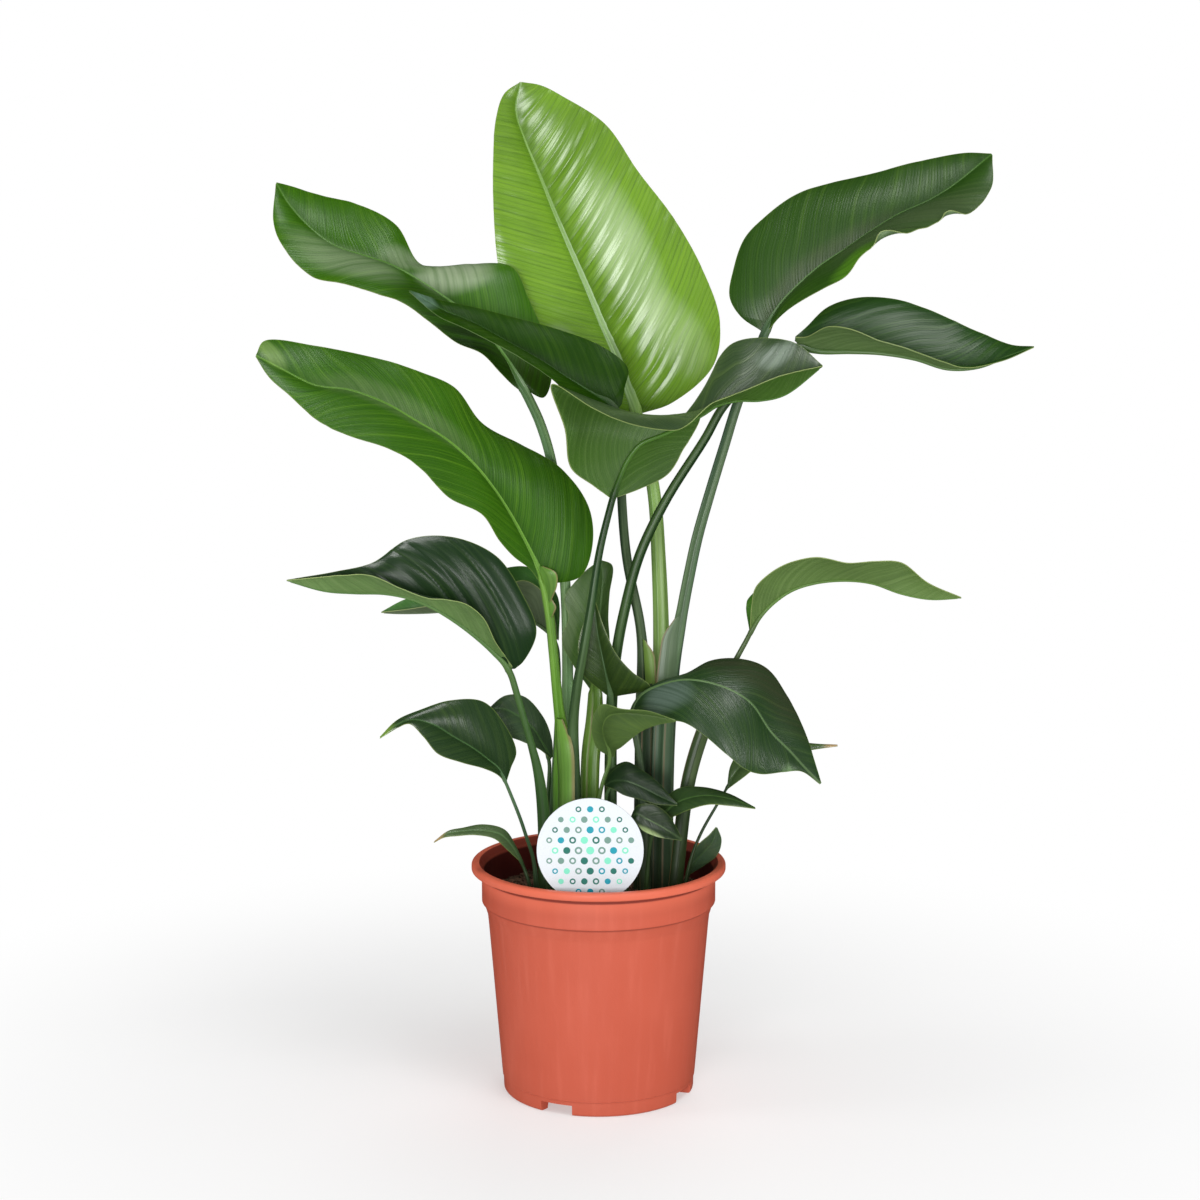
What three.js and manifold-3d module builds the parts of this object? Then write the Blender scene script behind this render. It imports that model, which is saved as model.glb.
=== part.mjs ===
// A bird of paradise plant in a round nursery pot, in millimetres, with +Z up.
// The origin is the middle of the pot's foot, on the surface that the pot stands on. The plant is seen
// from -Y: +X is to the viewer's right and -Y is towards the viewer.
//
// Every leaf is one grown piece: a sheath and stalk that rise out of a plain hole in the soil, and a blade
// that is a thin arched sheet with a keel under its midrib.

import * as THREE from "three";
import { mergeVertices } from "three/addons/utils/BufferGeometryUtils.js";
import Module from "manifold-3d";

const wasm = await Module();
wasm.setup();

// ---- Driving dimensions -------------------------------------------------------------------------

const POT_HEIGHT = 175;
const RIM_RADIUS = 95;
const RIM_DEPTH = 6; // the rolled rim, from its top down to its underside
const BAND_RADIUS = 87.4; // the upright band below the rim
const BAND_BOTTOM = 146;
const STEP_BOTTOM = 136; // below the step the wall tapers to the foot
const BODY_RADIUS = 82.9;
const FOOT_RADIUS = 71.6;
const FOOT_HEIGHT = 8; // the floor is this far above the surface, on the foot ring
const FOOT_RING_WIDTH = 8;
const WALL = 1.5;
const CENTRE_FOOT_RADIUS = 20; // the flat round foot in the middle of the floor
const POT_SEGMENTS = 36;

const NOTCH_COUNT = 4; // drain notches through the foot ring
const NOTCH_WIDTH = 24;
const NOTCH_TURN = -116; // degrees from +X to the first notch
const DRAIN_COUNT = 8; // drain holes through the floor
const DRAIN_RADIUS = 5;
const DRAIN_CIRCLE = 42;

const SOIL_TOP = 148;
const SOIL_RELIEF = 1.1; // how far the crumbs of the surface rise and dip
const PLANT_DEPTH = 30; // how deep the sheaths stand in the soil
const PLUG_ABOVE = 20; // how far the cutter of a hole reaches above the soil
const GAP = 0.35; // the clearance between two pieces that touch

const LABEL_RADIUS = 38.4;
const LABEL_CENTRE = new THREE.Vector3(-6, -75, 202);
const LABEL_THICKNESS = 1.2;
const STAKE_WIDTH = 16;
const STAKE_BOTTOM = 100;
const STAKE_POINT = 14; // the length of the stake's pointed end

const BLADE_THICKNESS = 1;
const BLADE_ARCH = 0.07; // how far a half blade arches, as a share of its width
const RIB_ROWS = 1.4; // rows of the blade's mesh for each pair of neighbouring ribs
const TIP_WIDTH = 1.6;
const SHEATH_FADE = 70; // the height over which a sheath narrows to its stalk
const STALK_STEP = 30; // the length of one stretch of stalk

// Across a half blade, from the edge of its midrib to its margin, as shares of the half's width.
const BROAD_COLUMNS = [0.36, 0.7, 1];
const SLENDER_COLUMNS = [0.55, 1];

// Colours of the pieces.
const TERRACOTTA = 0xd2603f;
const SOIL_BROWN = 0x2c2019;
const LABEL_WHITE = 0xf4f6f4;
const FRESH_GREEN = 0x78a82a;
const BRIGHT_GREEN = 0x3f8a1c;
const LEAF_GREEN = 0x356a26;
const DARK_GREEN = 0x1f4420;
const OLIVE_GREEN = 0x5f7f3c;

// ---- The leaves ---------------------------------------------------------------------------------
//
// foot:    where the sheath leaves the soil (x, y)
// sheath:  the sheath's half width and half depth, and the height at which it has become the stalk
// stalk:   the stalk's radius at the sheath and at the blade, then the points it passes on its way up
// base:    where the blade begins
// ribs:    pairs of side ribs from base to tip: left margin, midrib, right margin. Left and right are
//          as seen on the upper face with the tip pointing up
// tip:     where the blade ends

const LEAVES = {
  leaf_a_top: {
    color: FRESH_GREEN,
    foot: [44, 29],
    sheath: [7, 5.5, 330],
    radii: [8.1, 4.2],
    stalk: [[46, 30, 276], [47, 33, 336], [45, 38, 396], [41, 42, 449]],
    base: [29, 45, 507],
    ribs: [
      [[6, 42, 510], [23, 46, 522], [55, 44, 514]],
      [[-29, 37, 533], [14, 49, 547], [85, 46, 541]],
      [[-54, 33, 562], [3, 52, 571], [90, 50, 574]],
      [[-69, 33, 594], [-8, 55, 597], [77, 53, 612]],
      [[-75, 35, 627], [-19, 58, 622], [56, 56, 649]],
      [[-77, 38, 659], [-32, 60, 652], [29, 58, 684]],
      [[-77, 42, 692], [-43, 60, 679], [5, 59, 718]],
      [[-75, 47, 722], [-54, 59, 705], [-26, 58, 738]],
      [[-69, 51, 740], [-61, 57, 728], [-42, 57, 746]],
    ],
    tip: [-57, 54, 748],
  },
  leaf_b_left: {
    color: DARK_GREEN,
    foot: [33, 17],
    sheath: [7, 4.8, 350],
    radii: [4.2, 3.2],
    stalk: [[34, 16, 263], [34, 15, 309], [31, 13, 350], [21, 8, 401], [17, -2, 446], [16, -8, 484]],
    base: [15, -12, 515],
    ribs: [
      [[1, -18, 514], [10, -13, 518], [19, -9, 530]],
      [[-15, -36, 521], [-2, -16, 524], [21, -7, 543]],
      [[-34, -50, 539], [-21, -21, 536], [2, -7, 559]],
      [[-53, -60, 553], [-42, -27, 550], [-28, -14, 571]],
      [[-72, -60, 564], [-64, -33, 563], [-60, -22, 580]],
      [[-92, -60, 574], [-88, -39, 577], [-89, -32, 588]],
      [[-114, -54, 584], [-111, -44, 587], [-114, -40, 594]],
    ],
    tip: [-133, -50, 600],
  },
  leaf_c_upper_left: {
    color: LEAF_GREEN,
    foot: [-24, 12],
    sheath: [6, 4.5, 320],
    radii: [4.6, 3.5],
    stalk: [[-23, 11, 302], [-24, 11, 370], [-28, 10, 423], [-34, 8, 471], [-43, 4, 503]],
    base: [-54, 0, 528],
    ribs: [
      [[-63, -2, 531], [-59, 0, 536], [-40, 3, 521]],
      [[-71, -8, 540], [-67, 2, 549], [-34, 12, 537]],
      [[-84, -14, 554], [-77, 5, 562], [-39, 18, 564]],
      [[-102, -18, 562], [-93, 8, 579], [-51, 22, 593]],
      [[-121, -20, 577], [-112, 12, 593], [-63, 28, 615]],
      [[-139, -18, 590], [-129, 16, 604], [-94, 34, 617]],
      [[-160, -15, 598], [-151, 20, 616], [-130, 38, 616]],
      [[-182, -11, 604], [-172, 24, 623], [-149, 42, 645]],
      [[-206, -4, 608], [-193, 27, 630], [-178, 46, 660]],
      [[-228, 6, 629], [-212, 29, 644], [-206, 46, 667]],
      [[-236, 18, 648], [-227, 30, 661], [-225, 38, 673]],
    ],
    tip: [-235, 30, 675],
  },
  leaf_d_left: {
    color: BRIGHT_GREEN,
    foot: [-27, -10],
    sheath: [7.5, 4.5, 300],
    radii: [4.6, 3.2],
    stalk: [[-27, -9, 269], [-30, -10, 299], [-33, -12, 333], [-36, -14, 363]],
    base: [-39, -15, 387],
    ribs: [
      [[-50, -20, 398], [-45, -17, 401], [-13, -8, 391]],
      [[-61, -28, 408], [-52, -20, 416], [-4, -3, 413]],
      [[-71, -38, 421], [-62, -26, 436], [-6, 0, 439]],
      [[-83, -52, 442], [-73, -33, 455], [-26, -7, 469]],
      [[-106, -66, 456], [-88, -42, 476], [-55, -13, 488]],
      [[-126, -78, 480], [-107, -52, 495], [-83, -24, 504]],
      [[-145, -90, 493], [-129, -62, 510], [-102, -36, 531]],
      [[-172, -100, 503], [-149, -72, 523], [-126, -48, 543]],
      [[-193, -106, 514], [-173, -82, 533], [-160, -62, 555]],
      [[-212, -108, 532], [-196, -92, 537], [-195, -78, 563]],
      [[-226, -106, 544], [-219, -98, 549], [-230, -90, 568]],
    ],
    tip: [-235, -101, 558],
  },
  leaf_e_centre: {
    color: LEAF_GREEN,
    foot: [-17, -22],
    sheath: [6, 4, 300],
    radii: [4.8, 2.4],
    stalk: [[-19, -24, 276], [-16, -29, 310], [-11, -33, 340], [-6, -34, 370], [1, -33, 414]],
    base: [10, -30, 452],
    ribs: [
      [[30, -24, 457], [14, -32, 463], [-4, -36, 461]],
      [[51, -15, 467], [20, -34, 478], [-20, -45, 475]],
      [[63, -8, 487], [30, -35, 491], [-24, -58, 504]],
      [[73, -2, 505], [44, -34, 497], [-33, -60, 535]],
      [[76, 2, 523], [59, -31, 503], [-4, -73, 520]],
      [[82, 4, 539], [74, -28, 511], [29, -72, 507]],
      [[88, 4, 551], [86, -26, 518], [57, -66, 505]],
      [[98, 2, 561], [100, -24, 521], [80, -58, 521]],
      [[118, 0, 565], [116, -22, 521], [104, -50, 530]],
      [[142, -6, 561], [134, -20, 525], [128, -38, 539]],
    ],
    tip: [161, -18, 545],
  },
  leaf_g_upper_right: {
    color: LEAF_GREEN,
    foot: [47, 8],
    sheath: [8.6, 6, 365],
    radii: [5.4, 3.4],
    stalk: [[48.5, 9, 265], [52, 10, 313], [60, 12, 351], [66, 14, 383], [73, 17, 416], [82, 20, 448],
      [93, 24, 484], [103, 28, 516]],
    base: [123, 35, 567],
    ribs: [
      [[105, 39, 578], [126, 35, 574], [132, 26, 577]],
      [[97, 44, 592], [134, 35, 587], [144, 8, 589]],
      [[100, 50, 612], [146, 35, 600], [162, -6, 601]],
      [[108, 54, 634], [163, 35, 615], [178, -12, 610]],
      [[123, 56, 650], [181, 35, 627], [189, -14, 624]],
      [[146, 57, 667], [201, 35, 641], [205, -14, 634]],
      [[173, 57, 676], [221, 36, 653], [227, -10, 642]],
      [[203, 56, 682], [241, 37, 662], [249, -2, 650]],
      [[233, 54, 690], [258, 39, 672], [270, 10, 655]],
      [[268, 50, 697], [276, 41, 686], [286, 26, 672]],
    ],
    tip: [288, 41, 696],
  },
  leaf_h_right: {
    color: DARK_GREEN,
    foot: [9, 4],
    sheath: [4.8, 4, 290],
    radii: [4.8, 3],
    stalk: [[9, 1, 260], [10, -1, 300], [13, -3, 332], [19, -5, 365], [30, -5, 406], [49, -3, 446],
      [77, 1, 490], [94, 4, 518]],
    base: [143, 10, 562],
    ribs: [
      [[151, 13, 571], [149, 9, 557], [151, 5, 565]],
      [[167, 16, 586], [163, 6, 555], [165, -12, 573]],
      [[190, 20, 593], [183, 2, 555], [180, -24, 572]],
      [[215, 18, 592], [205, -2, 554], [201, -30, 564]],
      [[238, 14, 585], [229, -6, 550], [221, -32, 558]],
      [[259, 8, 576], [252, -10, 543], [240, -32, 551]],
      [[280, 0, 567], [273, -14, 544], [262, -28, 545]],
      [[297, -10, 560], [294, -18, 552], [289, -23, 549]],
    ],
    tip: [312, -22, 559],
  },
  leaf_i_lower_left: {
    color: DARK_GREEN,
    foot: [-40, -22],
    sheath: [5, 3.8, 280],
    radii: [3.6, 2.4],
    stalk: [[-40, -24, 211], [-42, -26, 235], [-45, -28, 253], [-50, -30, 273], [-55, -32, 292]],
    base: [-63, -35, 327],
    ribs: [
      [[-68, -39, 338], [-69, -37, 333], [-54, -33, 333]],
      [[-74, -50, 349], [-80, -41, 345], [-45, -33, 354]],
      [[-83, -68, 371], [-98, -47, 361], [-55, -35, 382]],
      [[-99, -80, 384], [-116, -54, 374], [-73, -40, 410]],
      [[-120, -88, 388], [-133, -62, 383], [-103, -48, 425]],
      [[-139, -94, 396], [-151, -70, 388], [-135, -58, 425]],
      [[-159, -98, 405], [-172, -80, 390], [-160, -70, 410]],
      [[-181, -100, 405], [-192, -90, 393], [-185, -86, 406]],
    ],
    tip: [-217, -102, 402],
  },
  leaf_j_behind: {
    color: LEAF_GREEN,
    foot: [-37, 14],
    sheath: [3.5, 3, 240],
    radii: [2.4, 1.8],
    stalk: [[-34, 18, 225], [-31, 21, 278], [-30, 23, 315]],
    base: [-30, 23, 338],
    ribs: [
      [[-37, 8, 371], [-36, 20, 344], [-31, 25, 372]],
      [[-54, -2, 387], [-49, 16, 354], [-51, 22, 393]],
      [[-76, -6, 380], [-73, 12, 361], [-81, 20, 390]],
      [[-103, -8, 373], [-103, 8, 363], [-107, 16, 381]],
      [[-128, -4, 368], [-128, 4, 362], [-131, 10, 375]],
      [[-146, -3, 365], [-148, 1, 362], [-145, 4, 371]],
    ],
    tip: [-160, -2, 363],
  },
  leaf_k_middle: {
    color: LEAF_GREEN,
    foot: [-7, -6],
    sheath: [7, 4.5, 330],
    radii: [6, 4.2],
    stalk: [[-6, 0, 252], [-3, 7, 281]],
    base: [-2, 10, 302],
    ribs: [
      [[-19, 5, 323], [-3, 10, 320], [5, 12, 319]],
      [[-27, -2, 343], [-3, 10, 337], [8, 15, 336]],
      [[-22, 0, 359], [0, 12, 355], [7, 18, 356]],
      [[-25, 2, 373], [2, 14, 372], [8, 20, 374]],
      [[-12, 10, 390], [3, 16, 388], [10, 20, 395]],
    ],
    tip: [1, 17, 399],
  },
  leaf_l_inner: {
    color: DARK_GREEN,
    foot: [11, -13],
    sheath: [4, 3.4, 240],
    radii: [2.6, 2.2],
    stalk: [[10, -12, 251], [10, -12, 281]],
    base: [10, -12, 302],
    ribs: [
      [[1, -16, 308], [8, -14, 309], [38, -26, 312]],
      [[-11, -21, 320], [5, -17, 322], [25, -26, 323]],
      [[-15, -22, 336], [2, -18, 337], [13, -24, 336]],
      [[-13, -21, 352], [-1, -19, 353], [5, -22, 353]],
    ],
    tip: [-3, -18, 374],
  },
  leaf_m_front: {
    color: OLIVE_GREEN,
    foot: [-2, -34],
    sheath: [2.6, 2.3, 190],
    radii: [1.7, 1.4],
    stalk: [[1, -33, 233]],
    base: [11, -30, 261],
    ribs: [
      [[-1, -38, 269], [6, -36, 271], [12, -32, 265]],
      [[-5, -52, 290], [3, -46, 286], [17, -42, 271]],
      [[2, -62, 306], [8, -56, 297], [25, -52, 280]],
      [[17, -68, 304], [21, -62, 300], [33, -58, 287]],
      [[35, -70, 303], [38, -66, 299], [43, -64, 292]],
    ],
    tip: [55, -70, 296],
  },
  leaf_n_small: {
    color: DARK_GREEN,
    foot: [6, -46],
    sheath: [2.2, 2, 180],
    radii: [1.5, 1.3],
    stalk: [[4, -46, 205]],
    base: [5, -46, 243],
    ribs: [
      [[9, -38, 253], [10, -47, 246], [10, -52, 242]],
      [[20, -38, 259], [19, -49, 247], [18, -55, 238]],
      [[32, -41, 253], [31, -51, 243], [30, -57, 235]],
      [[42, -46, 246], [43, -53, 237], [42, -59, 232]],
    ],
    tip: [57, -56, 231],
  },
  leaf_o_low_right: {
    color: LEAF_GREEN,
    foot: [34, -38],
    sheath: [2.6, 2.3, 180],
    radii: [1.6, 1.3],
    stalk: [[38, -42, 201]],
    base: [41, -45, 215],
    ribs: [
      [[45, -40, 226], [48, -47, 223], [53, -50, 220]],
      [[57, -38, 238], [59, -50, 232], [65, -60, 228]],
      [[75, -42, 241], [75, -54, 237], [80, -64, 233]],
      [[94, -50, 238], [94, -58, 236], [95, -64, 232]],
    ],
    tip: [113, -62, 230],
  },
  leaf_w_beside_label: {
    color: LEAF_GREEN,
    foot: [21, -52],
    sheath: [2, 1.8, 175],
    radii: [1.3, 1.1],
    stalk: [[21, -58, 205]],
    base: [23, -62, 222],
    ribs: [
      [[28, -60, 231], [27, -64, 226], [26, -67, 222]],
      [[39, -59, 232], [34, -65, 223], [31, -70, 216]],
      [[50, -61, 225], [46, -67, 217], [42, -71, 211]],
    ],
    tip: [60, -68, 208],
  },
  leaf_p_drooping: {
    color: DARK_GREEN,
    foot: [34, -18],
    sheath: [5, 4, 250],
    radii: [3.2, 2.4],
    stalk: [[31, -21, 250], [27, -24, 276]],
    base: [22, -26, 293],
    ribs: [
      [[32, -26, 308], [31, -30, 307], [32, -34, 295]],
      [[46, -28, 317], [45, -34, 315], [44, -46, 292]],
      [[64, -26, 322], [62, -40, 320], [62, -58, 292]],
      [[82, -24, 331], [79, -45, 319], [76, -64, 284]],
      [[103, -22, 332], [96, -50, 314], [92, -70, 271]],
      [[122, -24, 326], [110, -53, 305], [104, -70, 261]],
      [[138, -34, 306], [124, -56, 285], [117, -66, 256]],
      [[149, -46, 284], [138, -59, 271], [133, -64, 257]],
      [[155, -56, 266], [149, -61, 259], [146, -62, 257]],
    ],
    tip: [160, -62, 248],
  },
  leaf_q_arching: {
    color: OLIVE_GREEN,
    foot: [56, -10],
    sheath: [5.6, 4.6, 335],
    radii: [3.6, 1.8],
    stalk: [[66, -8, 236], [77, -6, 275], [88, -5, 302], [102, -5, 330]],
    base: [112, -5, 348],
    ribs: [
      [[109, 2, 367], [115, -6, 356], [112, -14, 371]],
      [[112, 12, 372], [125, -8, 369], [115, -24, 387]],
      [[133, 16, 388], [141, -10, 381], [135, -30, 403]],
      [[157, 16, 394], [159, -12, 387], [157, -32, 408]],
      [[181, 16, 393], [181, -14, 389], [179, -34, 405]],
      [[202, 14, 393], [200, -16, 387], [199, -34, 406]],
      [[223, 10, 391], [220, -18, 380], [218, -32, 405]],
      [[242, 0, 380], [241, -20, 376], [239, -28, 389]],
    ],
    tip: [264, -22, 377],
  },
  leaf_r_seedling: {
    color: OLIVE_GREEN,
    foot: [62, -24],
    sheath: [2, 1.8, 175],
    radii: [1.3, 1],
    stalk: [[68, -23, 181], [75, -22, 200], [87, -21, 222]],
    base: [95, -20, 235],
    ribs: [
      [[98, -15, 252], [100, -19, 245], [105, -25, 243]],
      [[111, -8, 266], [113, -18, 258], [117, -28, 253]],
      [[133, -7, 271], [134, -17, 264], [135, -26, 260]],
      [[155, -12, 267], [154, -16, 266], [155, -19, 263]],
    ],
    tip: [176, -15, 266],
  },
  leaf_s_small_left: {
    color: DARK_GREEN,
    foot: [-45, -30],
    sheath: [3, 2.5, 190],
    radii: [1.5, 1.2],
    stalk: [[-48, -32, 184], [-53, -35, 202], [-58, -37, 218]],
    base: [-68, -40, 245],
    ribs: [
      [[-73, -44, 250], [-72, -42, 254], [-64, -37, 254]],
      [[-83, -56, 258], [-80, -46, 262], [-60, -34, 265]],
      [[-98, -68, 265], [-91, -52, 272], [-67, -36, 284]],
      [[-115, -74, 273], [-105, -58, 282], [-83, -42, 304]],
      [[-125, -74, 285], [-119, -64, 292], [-107, -52, 307]],
      [[-135, -72, 294], [-133, -68, 296], [-128, -62, 302]],
      [[-145, -71, 290], [-144, -70, 293], [-144, -68, 296]],
    ],
    tip: [-156, -72, 284],
  },
  leaf_t_small_behind: {
    color: LEAF_GREEN,
    foot: [-44, 0],
    sheath: [3, 2.5, 190],
    radii: [1.8, 1.4],
    stalk: [[-38, 2, 220]],
    base: [-35, 2, 253],
    ribs: [
      [[-43, -4, 260], [-41, 0, 263], [-35, 6, 266]],
      [[-57, -14, 269], [-49, -4, 277], [-41, 4, 283]],
      [[-70, -20, 276], [-60, -8, 287], [-55, 2, 299]],
      [[-77, -18, 286], [-72, -12, 293], [-69, -4, 301]],
    ],
    tip: [-83, -14, 291],
  },
  leaf_u_low_left: {
    color: LEAF_GREEN,
    foot: [-50, -38],
    sheath: [2.4, 2, 165],
    radii: [1.5, 1.2],
    stalk: [[-51, -37, 167]],
    base: [-56, -35, 183],
    ribs: [
      [[-66, -42, 193], [-63, -39, 196], [-61, -34, 195]],
      [[-76, -49, 204], [-72, -44, 206], [-69, -38, 208]],
      [[-89, -54, 208], [-86, -49, 210], [-84, -43, 213]],
      [[-103, -57, 208], [-101, -53, 210], [-99, -49, 212]],
      [[-112, -58, 207], [-111, -56, 209], [-109, -54, 211]],
    ],
    tip: [-119, -58, 204],
  },
  leaf_v_shoot: {
    color: DARK_GREEN,
    foot: [64, 8],
    sheath: [2.4, 2.1, 158],
    radii: [1.8, 1.5],
    stalk: [],
    base: [66, 3, 163],
    ribs: [
      [[68, -2, 176], [71, 1, 173], [79, 4, 170]],
      [[74, -5, 188], [80, 0, 183], [89, 5, 178]],
      [[82, -4, 195], [85, 0, 190], [92, 4, 189]],
    ],
    tip: [88, 0, 200],
  },
};

// ---- Solids and joins ---------------------------------------------------------------------------

const vector = (point) => new THREE.Vector3(...point);

// A broad leaf has a finer mesh and a rounder stalk than a slender one.
const isBroad = (leaf) => leaf.ribs.length > 6;
const sidesOf = (leaf) => (isBroad(leaf) ? 8 : 6);
const sectionAngles = (sides) =>
  Array.from({ length: sides }, (_, i) => ((i + 0.5) / sides) * 2 * Math.PI);

function solid(geometry) {
  const bare = geometry.index ? geometry.toNonIndexed() : geometry.clone();
  bare.deleteAttribute("normal");
  bare.deleteAttribute("uv");
  const merged = mergeVertices(bare, 1e-4);
  return new wasm.Manifold(
    new wasm.Mesh({
      numProp: 3,
      vertProperties: merged.attributes.position.array,
      triVerts: new Uint32Array(merged.index.array),
    }),
  );
}

function geometryOf(manifold) {
  const mesh = manifold.getMesh();
  const geometry = new THREE.BufferGeometry();
  geometry.setAttribute("position", new THREE.BufferAttribute(mesh.vertProperties, 3));
  geometry.setIndex(new THREE.BufferAttribute(mesh.triVerts, 1));
  geometry.computeVertexNormals();
  return geometry;
}

function piece(name, geometry, color, roughness) {
  const material = new THREE.MeshStandardMaterial({ color, roughness, metalness: 0 });
  const mesh = new THREE.Mesh(geometry, material);
  mesh.name = name;
  return mesh;
}

// A closed solid through rings of points. The first half of a ring is its upper row and the second half
// the lower row, walked back, and both rows are split into triangles alike.
function loft(rings) {
  const size = rings[0].length;
  const half = size / 2;
  const index = [];
  for (let k = 0; k + 1 < rings.length; k++) {
    for (let i = 0; i < size; i++) {
      const a = k * size + i;
      const b = k * size + ((i + 1) % size);
      const [c, d] = [a + size, b + size];
      if (i < half) index.push(a, b, d, a, d, c);
      else index.push(a, b, c, b, d, c);
    }
  }
  const last = (rings.length - 1) * size;
  for (let i = 0; i + 1 < half; i++) {
    const [a, b, c, d] = [i, i + 1, size - 2 - i, size - 1 - i];
    index.push(a, d, b, b, d, c);
    index.push(last + a, last + b, last + d, last + b, last + c, last + d);
  }
  const positions = new Float32Array(rings.flat().flatMap((p) => p.toArray()));
  const geometry = new THREE.BufferGeometry();
  geometry.setAttribute("position", new THREE.BufferAttribute(positions, 3));
  geometry.setIndex(index);
  return geometry;
}

// ---- Pot ----------------------------------------------------------------------------------------

// The radius of the pot's outer wall at a height below the rim.
function wallRadius(z) {
  const slopes = [
    [0, FOOT_RADIUS],
    [STEP_BOTTOM, BODY_RADIUS],
    [BAND_BOTTOM, BAND_RADIUS],
    [POT_HEIGHT, BAND_RADIUS],
  ];
  const upper = slopes.findIndex(([height]) => height > z);
  const [[z0, r0], [z1, r1]] = [slopes[upper - 1], slopes[upper]];
  return r0 + ((r1 - r0) * (z - z0)) / (z1 - z0);
}

function makePot() {
  const rimBottom = POT_HEIGHT - RIM_DEPTH;
  const floorTop = FOOT_HEIGHT + WALL;
  const ringInner = FOOT_RADIUS - FOOT_RING_WIDTH;
  const bevel = 1.5;
  const profile = [
    [0, 0],
    [CENTRE_FOOT_RADIUS, 0],
    [CENTRE_FOOT_RADIUS + bevel, FOOT_HEIGHT],
    [ringInner - bevel, FOOT_HEIGHT],
    [ringInner, 0],
    [FOOT_RADIUS - 2 * bevel, 0],
    [FOOT_RADIUS - bevel / 3, bevel],
    [wallRadius(2 * bevel), 2 * bevel],
    [BODY_RADIUS, STEP_BOTTOM],
    [BAND_RADIUS, BAND_BOTTOM],
    [BAND_RADIUS, rimBottom],
    [RIM_RADIUS - bevel, rimBottom],
    [RIM_RADIUS, rimBottom + bevel],
    [RIM_RADIUS, POT_HEIGHT - bevel],
    [RIM_RADIUS - bevel, POT_HEIGHT],
    [RIM_RADIUS - 3 * bevel, POT_HEIGHT],
    [BAND_RADIUS - WALL, rimBottom],
    [BAND_RADIUS - WALL, BAND_BOTTOM],
    [BODY_RADIUS - WALL, STEP_BOTTOM],
    [wallRadius(floorTop) - WALL, floorTop],
    [0, floorTop],
  ];
  const points = profile.map(([radius, z]) => new THREE.Vector2(radius, z));
  const body = new THREE.LatheGeometry(points, POT_SEGMENTS).rotateX(Math.PI / 2);
  let pot = solid(body);

  for (let i = 0; i < NOTCH_COUNT; i++) {
    const turn = THREE.MathUtils.degToRad(NOTCH_TURN + (360 / NOTCH_COUNT) * i);
    const cut = new THREE.BoxGeometry(4 * FOOT_RING_WIDTH, NOTCH_WIDTH, 2 * FOOT_HEIGHT);
    cut.translate(FOOT_RADIUS - FOOT_RING_WIDTH / 2, 0, 0).rotateZ(turn);
    pot = pot.subtract(solid(cut));
  }
  for (let i = 0; i < DRAIN_COUNT; i++) {
    const turn = ((i + 0.5) / DRAIN_COUNT) * 2 * Math.PI;
    const hole = new THREE.CylinderGeometry(DRAIN_RADIUS, DRAIN_RADIUS, 4 * WALL, 8);
    hole.rotateX(Math.PI / 2).translate(DRAIN_CIRCLE, 0, FOOT_HEIGHT + WALL / 2).rotateZ(turn);
    pot = pot.subtract(solid(hole));
  }
  return piece("pot", geometryOf(pot), TERRACOTTA, 0.5);
}

// ---- Soil ---------------------------------------------------------------------------------------

function makeSoil() {
  const bottom = FOOT_HEIGHT + WALL + GAP;
  const inner = (z) => wallRadius(z) - WALL - GAP;
  const profile = [
    [0, bottom],
    [inner(bottom) - 1, bottom],
    [inner(STEP_BOTTOM), STEP_BOTTOM],
    [inner(BAND_BOTTOM) - 0.5, BAND_BOTTOM],
    [inner(SOIL_TOP) - 0.5, SOIL_TOP - 1],
    [inner(SOIL_TOP) * 0.82, SOIL_TOP],
    [inner(SOIL_TOP) * 0.62, SOIL_TOP],
    [inner(SOIL_TOP) * 0.4, SOIL_TOP],
    [inner(SOIL_TOP) * 0.18, SOIL_TOP],
    [0, SOIL_TOP],
  ];
  const points = profile.map(([radius, z]) => new THREE.Vector2(radius, z));
  const body = new THREE.LatheGeometry(points, POT_SEGMENTS).rotateX(Math.PI / 2);
  const position = body.attributes.position;
  for (let i = 0; i < position.count; i++) {
    const [x, y, z] = [position.getX(i), position.getY(i), position.getZ(i)];
    if (z < SOIL_TOP - 0.01) continue;
    const crumbs = Math.sin(x * 0.31 + 1.3) * Math.cos(y * 0.27) + 0.5 * Math.sin((x + y) * 0.53);
    position.setZ(i, z + (SOIL_RELIEF * crumbs) / 1.5);
  }

  let soil = solid(body);
  for (const leaf of Object.values(LEAVES)) soil = soil.subtract(solid(sheathPlug(leaf)));
  const slotHeight = SOIL_TOP - STAKE_BOTTOM + PLUG_ABOVE;
  const slot = new THREE.BoxGeometry(STAKE_WIDTH + 2 * GAP, LABEL_THICKNESS + 2 * GAP, slotHeight);
  slot.translate(LABEL_CENTRE.x, LABEL_CENTRE.y, STAKE_BOTTOM - GAP + slotHeight / 2);
  soil = soil.subtract(solid(slot));
  return piece("soil", geometryOf(soil), SOIL_BROWN, 0.95);
}

// The plug that leaves a plain hole for a sheath: the sheath's own outline with a clearance all round.
function sheathPlug(leaf) {
  const [halfWidth, halfDepth] = leaf.sheath;
  const clearance = GAP / Math.cos(Math.PI / sidesOf(leaf));
  const corners = sectionAngles(sidesOf(leaf)).map(
    (angle) =>
      new THREE.Vector2(
        (halfWidth + clearance) * Math.cos(angle),
        (halfDepth + clearance) * Math.sin(angle),
      ),
  );
  const shape = new THREE.Shape(corners);
  const depth = PLANT_DEPTH + PLUG_ABOVE;
  const geometry = new THREE.ExtrudeGeometry(shape, { depth, bevelEnabled: false, steps: 1 });
  return geometry.translate(leaf.foot[0], leaf.foot[1], SOIL_TOP - PLANT_DEPTH - GAP);
}

// ---- Label --------------------------------------------------------------------------------------

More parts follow.
